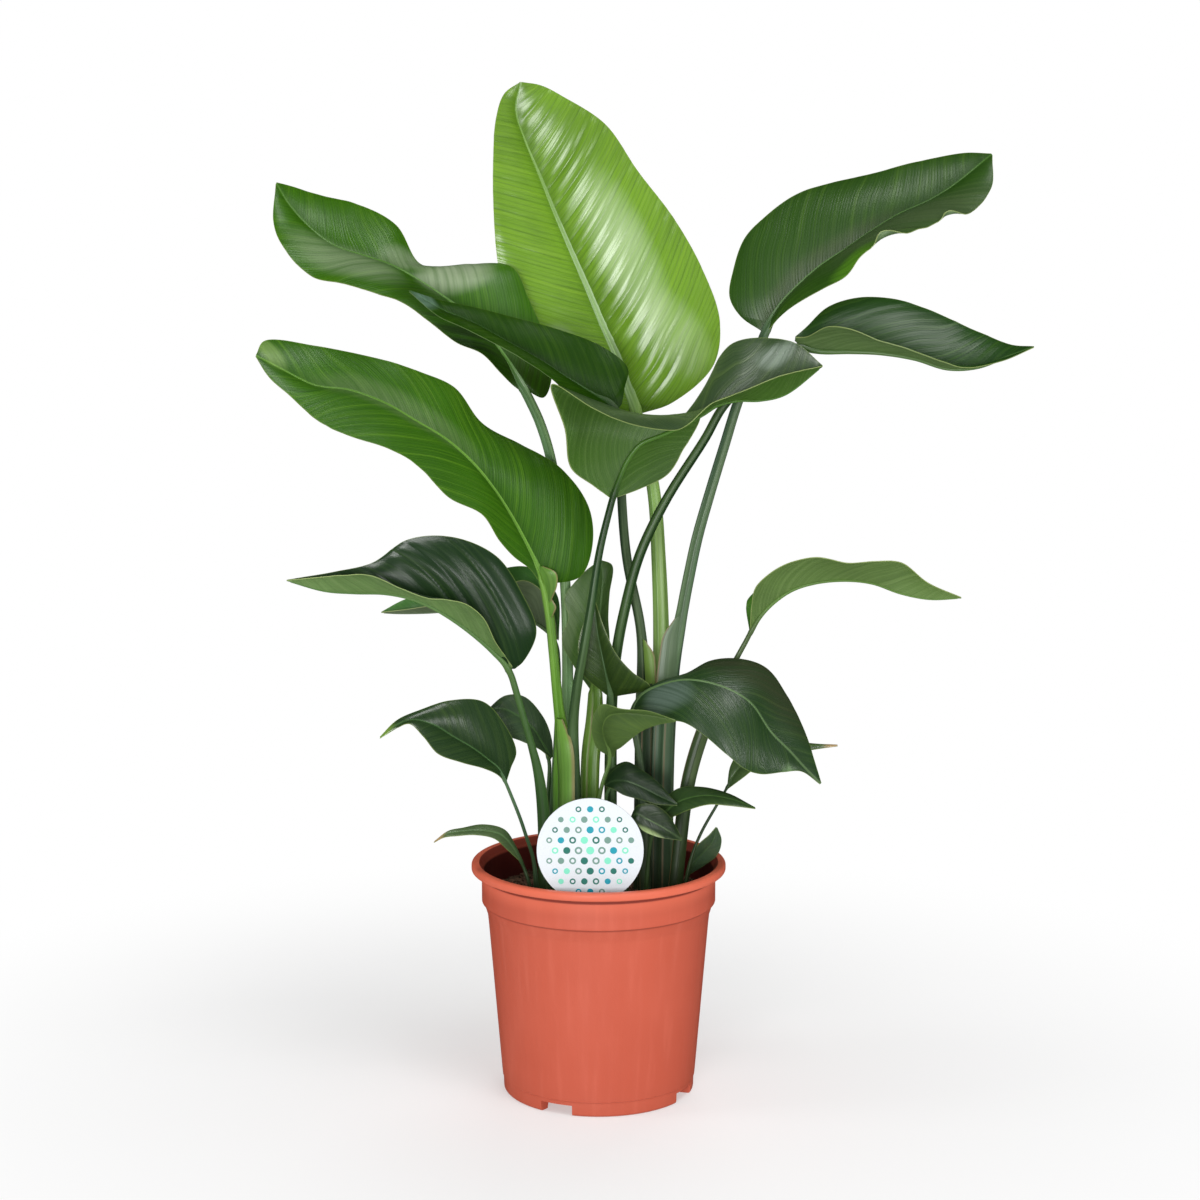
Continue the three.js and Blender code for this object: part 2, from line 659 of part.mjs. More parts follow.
function makeLabel() {
  const halfStake = STAKE_WIDTH / 2;
  const meet = Math.asin(halfStake / LABEL_RADIUS);
  const stakeEnd = STAKE_BOTTOM - LABEL_CENTRE.z;
  const outline = new THREE.Shape();
  outline.absarc(0, 0, LABEL_RADIUS, -Math.PI / 2 + meet, (3 * Math.PI) / 2 - meet, false);
  outline.lineTo(-halfStake, stakeEnd + STAKE_POINT);
  outline.lineTo(-1, stakeEnd);
  outline.lineTo(1, stakeEnd);
  outline.lineTo(halfStake, stakeEnd + STAKE_POINT);
  outline.closePath();
  const plate = new THREE.ExtrudeGeometry(outline, {
    depth: LABEL_THICKNESS,
    bevelEnabled: false,
    curveSegments: 32,
  });
  plate.rotateX(Math.PI / 2).translate(0, LABEL_THICKNESS / 2, 0);
  plate.translate(...LABEL_CENTRE.toArray());
  return piece("label", geometryOf(solid(plate)), LABEL_WHITE, 0.35);
}

// ---- Leaves -------------------------------------------------------------------------------------

// A sheath and stalk: a round tapering stem that stands straight in the soil and then follows its points.
function stalkSolid(leaf) {
  const { foot, sheath, radii, stalk, base, ribs } = leaf;
  const [halfWidth, halfDepth, sheathTop] = sheath;
  const emerge = new THREE.Vector3(...foot, SOIL_TOP + 2);
  const bladeStart = vector(base);
  const into = vector(ribs[0][1]).sub(bladeStart).setLength(radii[1] * 1.2);
  const end = bladeStart.clone().add(into);
  const path = new THREE.CatmullRomCurve3([emerge, ...stalk.map(vector), end], false, "centripetal");
  const count = Math.max(3, Math.round(path.getLength() / STALK_STEP));

  const ring = (centre, tangent, a, b) => {
    const across = new THREE.Vector3(1, 0, 0).addScaledVector(tangent, -tangent.x).normalize();
    const back = new THREE.Vector3().crossVectors(tangent, across);
    return sectionAngles(sidesOf(leaf)).map((angle) => {
      const point = centre.clone().addScaledVector(across, a * Math.cos(angle));
      return point.addScaledVector(back, b * Math.sin(angle));
    });
  };
  const up = new THREE.Vector3(0, 0, 1);
  const bottom = new THREE.Vector3(...foot, SOIL_TOP - PLANT_DEPTH);
  const rings = [ring(bottom, up, halfWidth, halfDepth), ring(emerge, up, halfWidth, halfDepth)];
  for (let i = 1; i <= count; i++) {
    const centre = path.getPointAt(i / count);
    const rise = (centre.z - emerge.z) / (end.z - emerge.z);
    const stem = THREE.MathUtils.lerp(radii[0], radii[1], Math.min(Math.max(rise, 0), 1));
    const wrap = 1 - THREE.MathUtils.smoothstep(centre.z, sheathTop - SHEATH_FADE, sheathTop);
    const a = THREE.MathUtils.lerp(stem, halfWidth, wrap);
    const b = THREE.MathUtils.lerp(stem, halfDepth, wrap);
    rings.push(ring(centre, path.getTangentAt(i / count), a, b));
  }
  return solid(loft(rings));
}

// A blade: an arched sheet between its margins, with a keel under the midrib that continues the stalk.
function bladeSolid({ radii, base, ribs, tip }, columns) {
  const [first, last] = [ribs[0].map(vector), ribs.at(-1).map(vector)];
  const near = (at, [left, middle, right], width) => [
    at.clone().add(left.clone().sub(middle).setLength(width)),
    at.clone(),
    at.clone().add(right.clone().sub(middle).setLength(width)),
  ];
  const sections = [
    near(vector(base), first, radii[1]),
    ...ribs.map((rib) => rib.map(vector)),
    near(vector(tip), last, TIP_WIDTH / 2),
  ];
  const curve = (side) =>
    new THREE.CatmullRomCurve3(sections.map((section) => section[side]), false, "centripetal");
  const [left, middle, right] = [curve(0), curve(1), curve(2)];
  const rows = Math.round(RIB_ROWS * (sections.length - 1));

  const grid = [];
  for (let k = 0; k <= rows; k++) {
    const s = k / rows;
    const centre = middle.getPoint(s);
    const along = middle.getTangent(s);
    const keel = THREE.MathUtils.lerp(radii[1], TIP_WIDTH / 4, s);
    const halfRow = (margin, sign) => {
      const reach = margin.clone().sub(centre);
      const width = reach.length();
      const normal = new THREE.Vector3().crossVectors(reach, along).multiplyScalar(sign).normalize();
      const steps = [Math.min(keel / width, 0.5), ...columns];
      if (steps[0] > columns[0] * 0.8) steps.forEach((_, i) => (steps[i] = (i + 1) / steps.length));
      return steps.map((t) => {
        const arch = width * BLADE_ARCH * 4 * t * (1 - t);
        return centre.clone().addScaledVector(reach, t).addScaledVector(normal, arch);
      });
    };
    grid.push([
      ...halfRow(left.getPoint(s), -1).reverse(),
      centre,
      ...halfRow(right.getPoint(s), 1),
    ]);
  }

  const middleColumn = columns.length + 1;
  const rings = grid.map((row, k) => {
    const keel = THREE.MathUtils.lerp(radii[1], TIP_WIDTH / 4, k / rows);
    const normals = row.map((_, i) => sheetNormal(grid, k, i));
    const above = row.map((p, i) => p.clone().addScaledVector(normals[i], BLADE_THICKNESS / 2));
    const below = row.map((p, i) => {
      const depth = BLADE_THICKNESS / 2 + (i === middleColumn ? keel : 0);
      return p.clone().addScaledVector(normals[i], -depth);
    });
    return [...above, ...below.reverse()];
  });
  return solid(loft(rings));
}

// The direction that the upper face of a sheet looks in at one of its grid points.
function sheetNormal(grid, k, i) {
  const rowBefore = grid[Math.max(k - 1, 0)];
  const rowAfter = grid[Math.min(k + 1, grid.length - 1)];
  const across = grid[k][Math.min(i + 1, grid[k].length - 1)].clone().sub(grid[k][Math.max(i - 1, 0)]);
  const along = rowAfter[i].clone().sub(rowBefore[i]);
  return across.cross(along).normalize();
}

// A leaf is its stalk and blade in one body. A tight fold can leave a loose scrap, which is dropped.
function makeLeaf(name, leaf) {
  const blade = bladeSolid(leaf, isBroad(leaf) ? BROAD_COLUMNS : SLENDER_COLUMNS);
  const bodies = stalkSolid(leaf).add(blade).decompose();
  const whole = bodies.reduce((a, b) => (a.volume() > b.volume() ? a : b));
  return piece(name, geometryOf(whole), leaf.color, 0.4);
}

// ---- The potted plant ---------------------------------------------------------------------------

const plant = new THREE.Group();
plant.add(makePot(), makeSoil(), makeLabel());
for (const [name, leaf] of Object.entries(LEAVES)) plant.add(makeLeaf(name, leaf));

export default plant;
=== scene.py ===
"""The looks of a potted bird of paradise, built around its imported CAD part.

Each leaf is built again from the points that its solid has, with a fine mesh: pleats between the side veins,
a midrib that runs on from its stalk, and a sheath with thin margins. Lengths in the tables are millimetres.
"""

import math

import bmesh
import bpy
import numpy as np
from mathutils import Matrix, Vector, noise


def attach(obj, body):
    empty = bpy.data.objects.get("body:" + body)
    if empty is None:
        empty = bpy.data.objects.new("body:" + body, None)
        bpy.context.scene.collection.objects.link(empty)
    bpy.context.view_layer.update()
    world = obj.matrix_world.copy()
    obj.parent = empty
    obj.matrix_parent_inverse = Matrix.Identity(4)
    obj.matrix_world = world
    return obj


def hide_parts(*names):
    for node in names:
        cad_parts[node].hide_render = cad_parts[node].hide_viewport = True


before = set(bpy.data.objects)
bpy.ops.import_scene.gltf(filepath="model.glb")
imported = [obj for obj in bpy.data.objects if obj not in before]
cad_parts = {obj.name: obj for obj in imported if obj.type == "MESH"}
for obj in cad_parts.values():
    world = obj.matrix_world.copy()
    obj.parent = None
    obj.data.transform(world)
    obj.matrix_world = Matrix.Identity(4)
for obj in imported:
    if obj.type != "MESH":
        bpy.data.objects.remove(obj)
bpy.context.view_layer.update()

MM = 0.001

# ---- Sizes that the CAD part has too ------------------------------------------------------------

POT_HEIGHT = 175
RIM_RADIUS = 95
RIM_DEPTH = 6
BAND_RADIUS = 87.4
BAND_BOTTOM = 146
STEP_BOTTOM = 136
BODY_RADIUS = 82.9
FOOT_RADIUS = 71.6
FOOT_HEIGHT = 8
FOOT_RING_WIDTH = 8
WALL = 1.5
CENTRE_FOOT_RADIUS = 20
NOTCH_COUNT = 4
NOTCH_WIDTH = 24
NOTCH_TURN = -116
SOIL_TOP = 148
PLANT_DEPTH = 30
LABEL_RADIUS = 38.4
LABEL_CENTRE = (-6, -75, 202)
LABEL_THICKNESS = 1.2
STAKE_WIDTH = 16
STAKE_BOTTOM = 100
STAKE_POINT = 14
TIP_WIDTH = 1.6
SHEATH_FADE = 70

# ---- The leaves ---------------------------------------------------------------------------------
#
# foot:    where the sheath leaves the soil (x, y)
# sheath:  the sheath's half width and half depth, and the height at which it has become the stalk
# radii:   the stalk's radius at the sheath and at the blade
# base:    where the blade begins, and tip: where it ends
# stalk:   the points that the stalk passes on its way up
# left, middle and right: the left margin, the midrib and the right margin from base to tip, as seen on the
#          upper face with the tip pointing up

LEAVES = {
    "leaf_a_top": dict(
        foot=(44, 29), sheath=(7, 5.5, 330), radii=(8.1, 4.2), base=(29, 45, 507), tip=(-57, 54, 748),
        stalk=[(46, 30, 276), (47, 33, 336), (45, 38, 396), (41, 42, 449)],
        left=[(6, 42, 510), (-29, 37, 533), (-54, 33, 562), (-69, 33, 594), (-75, 35, 627), (-77, 38, 659),
              (-77, 42, 692), (-75, 47, 722), (-69, 51, 740)],
        middle=[(23, 46, 522), (14, 49, 547), (3, 52, 571), (-8, 55, 597), (-19, 58, 622), (-32, 60, 652),
                (-43, 60, 679), (-54, 59, 705), (-61, 57, 728)],
        right=[(55, 44, 514), (85, 46, 541), (90, 50, 574), (77, 53, 612), (56, 56, 649), (29, 58, 684),
               (5, 59, 718), (-26, 58, 738), (-42, 57, 746)],
    ),
    "leaf_b_left": dict(
        foot=(33, 17), sheath=(7, 4.8, 350), radii=(4.2, 3.2), base=(15, -12, 515), tip=(-133, -50, 600),
        stalk=[(34, 16, 263), (34, 15, 309), (31, 13, 350), (21, 8, 401), (17, -2, 446), (16, -8, 484)],
        left=[(1, -18, 514), (-15, -36, 521), (-34, -50, 539), (-53, -60, 553), (-72, -60, 564),
              (-92, -60, 574), (-114, -54, 584)],
        middle=[(10, -13, 518), (-2, -16, 524), (-21, -21, 536), (-42, -27, 550), (-64, -33, 563),
                (-88, -39, 577), (-111, -44, 587)],
        right=[(19, -9, 530), (21, -7, 543), (2, -7, 559), (-28, -14, 571), (-60, -22, 580), (-89, -32, 588),
               (-114, -40, 594)],
    ),
    "leaf_c_upper_left": dict(
        foot=(-24, 12), sheath=(6, 4.5, 320), radii=(4.6, 3.5), base=(-54, 0, 528), tip=(-235, 30, 675),
        stalk=[(-23, 11, 302), (-24, 11, 370), (-28, 10, 423), (-34, 8, 471), (-43, 4, 503)],
        left=[(-63, -2, 531), (-71, -8, 540), (-84, -14, 554), (-102, -18, 562), (-121, -20, 577),
              (-139, -18, 590), (-160, -15, 598), (-182, -11, 604), (-206, -4, 608), (-228, 6, 629),
              (-236, 18, 648)],
        middle=[(-59, 0, 536), (-67, 2, 549), (-77, 5, 562), (-93, 8, 579), (-112, 12, 593), (-129, 16, 604),
                (-151, 20, 616), (-172, 24, 623), (-193, 27, 630), (-212, 29, 644), (-227, 30, 661)],
        right=[(-40, 3, 521), (-34, 12, 537), (-39, 18, 564), (-51, 22, 593), (-63, 28, 615), (-94, 34, 617),
               (-130, 38, 616), (-149, 42, 645), (-178, 46, 660), (-206, 46, 667), (-225, 38, 673)],
    ),
    "leaf_d_left": dict(
        foot=(-27, -10), sheath=(7.5, 4.5, 300), radii=(4.6, 3.2),
        base=(-39, -15, 387), tip=(-235, -101, 558),
        stalk=[(-27, -9, 269), (-30, -10, 299), (-33, -12, 333), (-36, -14, 363)],
        left=[(-50, -20, 398), (-61, -28, 408), (-71, -38, 421), (-83, -52, 442), (-106, -66, 456),
              (-126, -78, 480), (-145, -90, 493), (-172, -100, 503), (-193, -106, 514), (-212, -108, 532),
              (-226, -106, 544)],
        middle=[(-45, -17, 401), (-52, -20, 416), (-62, -26, 436), (-73, -33, 455), (-88, -42, 476),
                (-107, -52, 495), (-129, -62, 510), (-149, -72, 523), (-173, -82, 533), (-196, -92, 537),
                (-219, -98, 549)],
        right=[(-13, -8, 391), (-4, -3, 413), (-6, 0, 439), (-26, -7, 469), (-55, -13, 488), (-83, -24, 504),
               (-102, -36, 531), (-126, -48, 543), (-160, -62, 555), (-195, -78, 563), (-230, -90, 568)],
    ),
    "leaf_e_centre": dict(
        foot=(-17, -22), sheath=(6, 4, 300), radii=(4.8, 2.4), base=(10, -30, 452), tip=(161, -18, 545),
        stalk=[(-19, -24, 276), (-16, -29, 310), (-11, -33, 340), (-6, -34, 370), (1, -33, 414)],
        left=[(30, -24, 457), (51, -15, 467), (63, -8, 487), (73, -2, 505), (76, 2, 523), (82, 4, 539),
              (88, 4, 551), (98, 2, 561), (118, 0, 565), (142, -6, 561)],
        middle=[(14, -32, 463), (20, -34, 478), (30, -35, 491), (44, -34, 497), (59, -31, 503),
                (74, -28, 511), (86, -26, 518), (100, -24, 521), (116, -22, 521), (134, -20, 525)],
        right=[(-4, -36, 461), (-20, -45, 475), (-24, -58, 504), (-33, -60, 535), (-4, -73, 520),
               (29, -72, 507), (57, -66, 505), (80, -58, 521), (104, -50, 530), (128, -38, 539)],
    ),
    "leaf_g_upper_right": dict(
        foot=(47, 8), sheath=(8.6, 6, 365), radii=(5.4, 3.4), base=(123, 35, 567), tip=(288, 41, 696),
        stalk=[(48.5, 9, 265), (52, 10, 313), (60, 12, 351), (66, 14, 383), (73, 17, 416), (82, 20, 448),
               (93, 24, 484), (103, 28, 516)],
        left=[(105, 39, 578), (97, 44, 592), (100, 50, 612), (108, 54, 634), (123, 56, 650), (146, 57, 667),
              (173, 57, 676), (203, 56, 682), (233, 54, 690), (268, 50, 697)],
        middle=[(126, 35, 574), (134, 35, 587), (146, 35, 600), (163, 35, 615), (181, 35, 627),
                (201, 35, 641), (221, 36, 653), (241, 37, 662), (258, 39, 672), (276, 41, 686)],
        right=[(132, 26, 577), (144, 8, 589), (162, -6, 601), (178, -12, 610), (189, -14, 624),
               (205, -14, 634), (227, -10, 642), (249, -2, 650), (270, 10, 655), (286, 26, 672)],
    ),
    "leaf_h_right": dict(
        foot=(9, 4), sheath=(4.8, 4, 290), radii=(4.8, 3), base=(143, 10, 562), tip=(312, -22, 559),
        stalk=[(9, 1, 260), (10, -1, 300), (13, -3, 332), (19, -5, 365), (30, -5, 406), (49, -3, 446),
               (77, 1, 490), (94, 4, 518)],
        left=[(151, 13, 571), (167, 16, 586), (190, 20, 593), (215, 18, 592), (238, 14, 585), (259, 8, 576),
              (280, 0, 567), (297, -10, 560)],
        middle=[(149, 9, 557), (163, 6, 555), (183, 2, 555), (205, -2, 554), (229, -6, 550), (252, -10, 543),
                (273, -14, 544), (294, -18, 552)],
        right=[(151, 5, 565), (165, -12, 573), (180, -24, 572), (201, -30, 564), (221, -32, 558),
               (240, -32, 551), (262, -28, 545), (289, -23, 549)],
    ),
    "leaf_i_lower_left": dict(
        foot=(-40, -22), sheath=(5, 3.8, 280), radii=(3.6, 2.4), base=(-63, -35, 327), tip=(-217, -102, 402),
        stalk=[(-40, -24, 211), (-42, -26, 235), (-45, -28, 253), (-50, -30, 273), (-55, -32, 292)],
        left=[(-68, -39, 338), (-74, -50, 349), (-83, -68, 371), (-99, -80, 384), (-120, -88, 388),
              (-139, -94, 396), (-159, -98, 405), (-181, -100, 405)],
        middle=[(-69, -37, 333), (-80, -41, 345), (-98, -47, 361), (-116, -54, 374), (-133, -62, 383),
                (-151, -70, 388), (-172, -80, 390), (-192, -90, 393)],
        right=[(-54, -33, 333), (-45, -33, 354), (-55, -35, 382), (-73, -40, 410), (-103, -48, 425),
               (-135, -58, 425), (-160, -70, 410), (-185, -86, 406)],
    ),
    "leaf_j_behind": dict(
        foot=(-37, 14), sheath=(3.5, 3, 240), radii=(2.4, 1.8), base=(-30, 23, 338), tip=(-160, -2, 363),
        stalk=[(-34, 18, 225), (-31, 21, 278), (-30, 23, 315)],
        left=[(-37, 8, 371), (-54, -2, 387), (-76, -6, 380), (-103, -8, 373), (-128, -4, 368),
              (-146, -3, 365)],
        middle=[(-36, 20, 344), (-49, 16, 354), (-73, 12, 361), (-103, 8, 363), (-128, 4, 362),
                (-148, 1, 362)],
        right=[(-31, 25, 372), (-51, 22, 393), (-81, 20, 390), (-107, 16, 381), (-131, 10, 375),
               (-145, 4, 371)],
    ),
    "leaf_k_middle": dict(
        foot=(-7, -6), sheath=(7, 4.5, 330), radii=(6, 4.2), base=(-2, 10, 302), tip=(1, 17, 399),
        stalk=[(-6, 0, 252), (-3, 7, 281)],
        left=[(-19, 5, 323), (-27, -2, 343), (-22, 0, 359), (-25, 2, 373), (-12, 10, 390)],
        middle=[(-3, 10, 320), (-3, 10, 337), (0, 12, 355), (2, 14, 372), (3, 16, 388)],
        right=[(5, 12, 319), (8, 15, 336), (7, 18, 356), (8, 20, 374), (10, 20, 395)],
    ),
    "leaf_l_inner": dict(
        foot=(11, -13), sheath=(4, 3.4, 240), radii=(2.6, 2.2), base=(10, -12, 302), tip=(-3, -18, 374),
        stalk=[(10, -12, 251), (10, -12, 281)],
        left=[(1, -16, 308), (-11, -21, 320), (-15, -22, 336), (-13, -21, 352)],
        middle=[(8, -14, 309), (5, -17, 322), (2, -18, 337), (-1, -19, 353)],
        right=[(38, -26, 312), (25, -26, 323), (13, -24, 336), (5, -22, 353)],
    ),
    "leaf_m_front": dict(
        foot=(-2, -34), sheath=(2.6, 2.3, 190), radii=(1.7, 1.4), base=(11, -30, 261), tip=(55, -70, 296),
        stalk=[(1, -33, 233)],
        left=[(-1, -38, 269), (-5, -52, 290), (2, -62, 306), (17, -68, 304), (35, -70, 303)],
        middle=[(6, -36, 271), (3, -46, 286), (8, -56, 297), (21, -62, 300), (38, -66, 299)],
        right=[(12, -32, 265), (17, -42, 271), (25, -52, 280), (33, -58, 287), (43, -64, 292)],
    ),
    "leaf_n_small": dict(
        foot=(6, -46), sheath=(2.2, 2, 180), radii=(1.5, 1.3), base=(5, -46, 243), tip=(57, -56, 231),
        stalk=[(4, -46, 205)],
        left=[(9, -38, 253), (20, -38, 259), (32, -41, 253), (42, -46, 246)],
        middle=[(10, -47, 246), (19, -49, 247), (31, -51, 243), (43, -53, 237)],
        right=[(10, -52, 242), (18, -55, 238), (30, -57, 235), (42, -59, 232)],
    ),
    "leaf_o_low_right": dict(
        foot=(34, -38), sheath=(2.6, 2.3, 180), radii=(1.6, 1.3), base=(41, -45, 215), tip=(113, -62, 230),
        stalk=[(38, -42, 201)],
        left=[(45, -40, 226), (57, -38, 238), (75, -42, 241), (94, -50, 238)],
        middle=[(48, -47, 223), (59, -50, 232), (75, -54, 237), (94, -58, 236)],
        right=[(53, -50, 220), (65, -60, 228), (80, -64, 233), (95, -64, 232)],
    ),
    "leaf_w_beside_label": dict(
        foot=(21, -52), sheath=(2, 1.8, 175), radii=(1.3, 1.1), base=(23, -62, 222), tip=(60, -68, 208),
        stalk=[(21, -58, 205)],
        left=[(28, -60, 231), (39, -59, 232), (50, -61, 225)],
        middle=[(27, -64, 226), (34, -65, 223), (46, -67, 217)],
        right=[(26, -67, 222), (31, -70, 216), (42, -71, 211)],
    ),
    "leaf_p_drooping": dict(
        foot=(34, -18), sheath=(5, 4, 250), radii=(3.2, 2.4), base=(22, -26, 293), tip=(160, -62, 248),
        stalk=[(31, -21, 250), (27, -24, 276)],
        left=[(32, -26, 308), (46, -28, 317), (64, -26, 322), (82, -24, 331), (103, -22, 332),
              (122, -24, 326), (138, -34, 306), (149, -46, 284), (155, -56, 266)],
        middle=[(31, -30, 307), (45, -34, 315), (62, -40, 320), (79, -45, 319), (96, -50, 314),
                (110, -53, 305), (124, -56, 285), (138, -59, 271), (149, -61, 259)],
        right=[(32, -34, 295), (44, -46, 292), (62, -58, 292), (76, -64, 284), (92, -70, 271),
               (104, -70, 261), (117, -66, 256), (133, -64, 257), (146, -62, 257)],
    ),
    "leaf_q_arching": dict(
        foot=(56, -10), sheath=(5.6, 4.6, 335), radii=(3.6, 1.8), base=(112, -5, 348), tip=(264, -22, 377),
        stalk=[(66, -8, 236), (77, -6, 275), (88, -5, 302), (102, -5, 330)],
        left=[(109, 2, 367), (112, 12, 372), (133, 16, 388), (157, 16, 394), (181, 16, 393), (202, 14, 393),
              (223, 10, 391), (242, 0, 380)],
        middle=[(115, -6, 356), (125, -8, 369), (141, -10, 381), (159, -12, 387), (181, -14, 389),
                (200, -16, 387), (220, -18, 380), (241, -20, 376)],
        right=[(112, -14, 371), (115, -24, 387), (135, -30, 403), (157, -32, 408), (179, -34, 405),
               (199, -34, 406), (218, -32, 405), (239, -28, 389)],
    ),
    "leaf_r_seedling": dict(
        foot=(62, -24), sheath=(2, 1.8, 175), radii=(1.3, 1), base=(95, -20, 235), tip=(176, -15, 266),
        stalk=[(68, -23, 181), (75, -22, 200), (87, -21, 222)],
        left=[(98, -15, 252), (111, -8, 266), (133, -7, 271), (155, -12, 267)],
        middle=[(100, -19, 245), (113, -18, 258), (134, -17, 264), (154, -16, 266)],
        right=[(105, -25, 243), (117, -28, 253), (135, -26, 260), (155, -19, 263)],
    ),
    "leaf_s_small_left": dict(
        foot=(-45, -30), sheath=(3, 2.5, 190), radii=(1.5, 1.2), base=(-68, -40, 245), tip=(-156, -72, 284),
        stalk=[(-48, -32, 184), (-53, -35, 202), (-58, -37, 218)],
        left=[(-73, -44, 250), (-83, -56, 258), (-98, -68, 265), (-115, -74, 273), (-125, -74, 285),
              (-135, -72, 294), (-145, -71, 290)],
        middle=[(-72, -42, 254), (-80, -46, 262), (-91, -52, 272), (-105, -58, 282), (-119, -64, 292),
                (-133, -68, 296), (-144, -70, 293)],
        right=[(-64, -37, 254), (-60, -34, 265), (-67, -36, 284), (-83, -42, 304), (-107, -52, 307),
               (-128, -62, 302), (-144, -68, 296)],
    ),
    "leaf_t_small_behind": dict(
        foot=(-44, 0), sheath=(3, 2.5, 190), radii=(1.8, 1.4), base=(-35, 2, 253), tip=(-83, -14, 291),
        stalk=[(-38, 2, 220)],
        left=[(-43, -4, 260), (-57, -14, 269), (-70, -20, 276), (-77, -18, 286)],
        middle=[(-41, 0, 263), (-49, -4, 277), (-60, -8, 287), (-72, -12, 293)],
        right=[(-35, 6, 266), (-41, 4, 283), (-55, 2, 299), (-69, -4, 301)],
    ),
    "leaf_u_low_left": dict(
        foot=(-50, -38), sheath=(2.4, 2, 165), radii=(1.5, 1.2), base=(-56, -35, 183), tip=(-119, -58, 204),
        stalk=[(-51, -37, 167)],
        left=[(-66, -42, 193), (-76, -49, 204), (-89, -54, 208), (-103, -57, 208), (-112, -58, 207)],
        middle=[(-63, -39, 196), (-72, -44, 206), (-86, -49, 210), (-101, -53, 210), (-111, -56, 209)],
        right=[(-61, -34, 195), (-69, -38, 208), (-84, -43, 213), (-99, -49, 212), (-109, -54, 211)],
    ),
    "leaf_v_shoot": dict(
        foot=(64, 8), sheath=(2.4, 2.1, 158), radii=(1.8, 1.5), base=(66, 3, 163), tip=(88, 0, 200),
        stalk=[],
        left=[(68, -2, 176), (74, -5, 188), (82, -4, 195)],
        middle=[(71, 1, 173), (80, 0, 183), (85, 0, 190)],
        right=[(79, 4, 170), (89, 5, 178), (92, 4, 189)],
    ),
}

SHEEN = (158, 172, 142)  # of the pale patches that stand for the soft sheen of a leaf

# The look of each leaf. Colours are 0 to 255.
# upper, under, rib and stalk: the colours of its two faces, its midrib and its stalk
# mottle: how far its two faces are mottled and streaked
# rough:  how rough its upper face is, and shine: how much it mirrors
# pleats: how deep the pleats between its side veins are, in both halves or in the left and the right one
# pitch:  how far apart the pleats are along the midrib
# lean:   how far the side veins lean to the tip, in the left and the right half
# arch:   how high each half arches for its width, at the tip and at the stalk
# waves:  how deep the slow waves of its margins are
# grain:  how strong the fine relief of its upper face is, and tip: the colour of a dry tip
# midrib: how wide the midrib is on the blade, as a share of its width next to the stalk
# patches: paler and darker patches of its upper face, mostly painted sheen, highlights and glow where pale
#         and painted shade where dark: where along the blade, how far to the right of the midrib
#             (millimetres),
#         half the length, half the width, how strong, and the colour
# shade:  how much painted shade darkens its upper face next to the stalk, and margin: how pale its
#         margins are
# flap:   the colour of the flaps on its stalk
# curls:  stretches of a margin that roll over: side (1 is right), start and end along the blade, width and
#         degrees

COMMON_LOOK = dict(
    mottle=0.8, rough=0.36, shine=0.5, pleats=0.4, pitch=8.5, lean=(1.1, 1.1), arch=(0.07, 0.07), midrib=0.6,
    waves=1.0, grain=1.0, shade=0.3, margin=0.7, flap=(138, 156, 104), patches=[], curls=[],
)

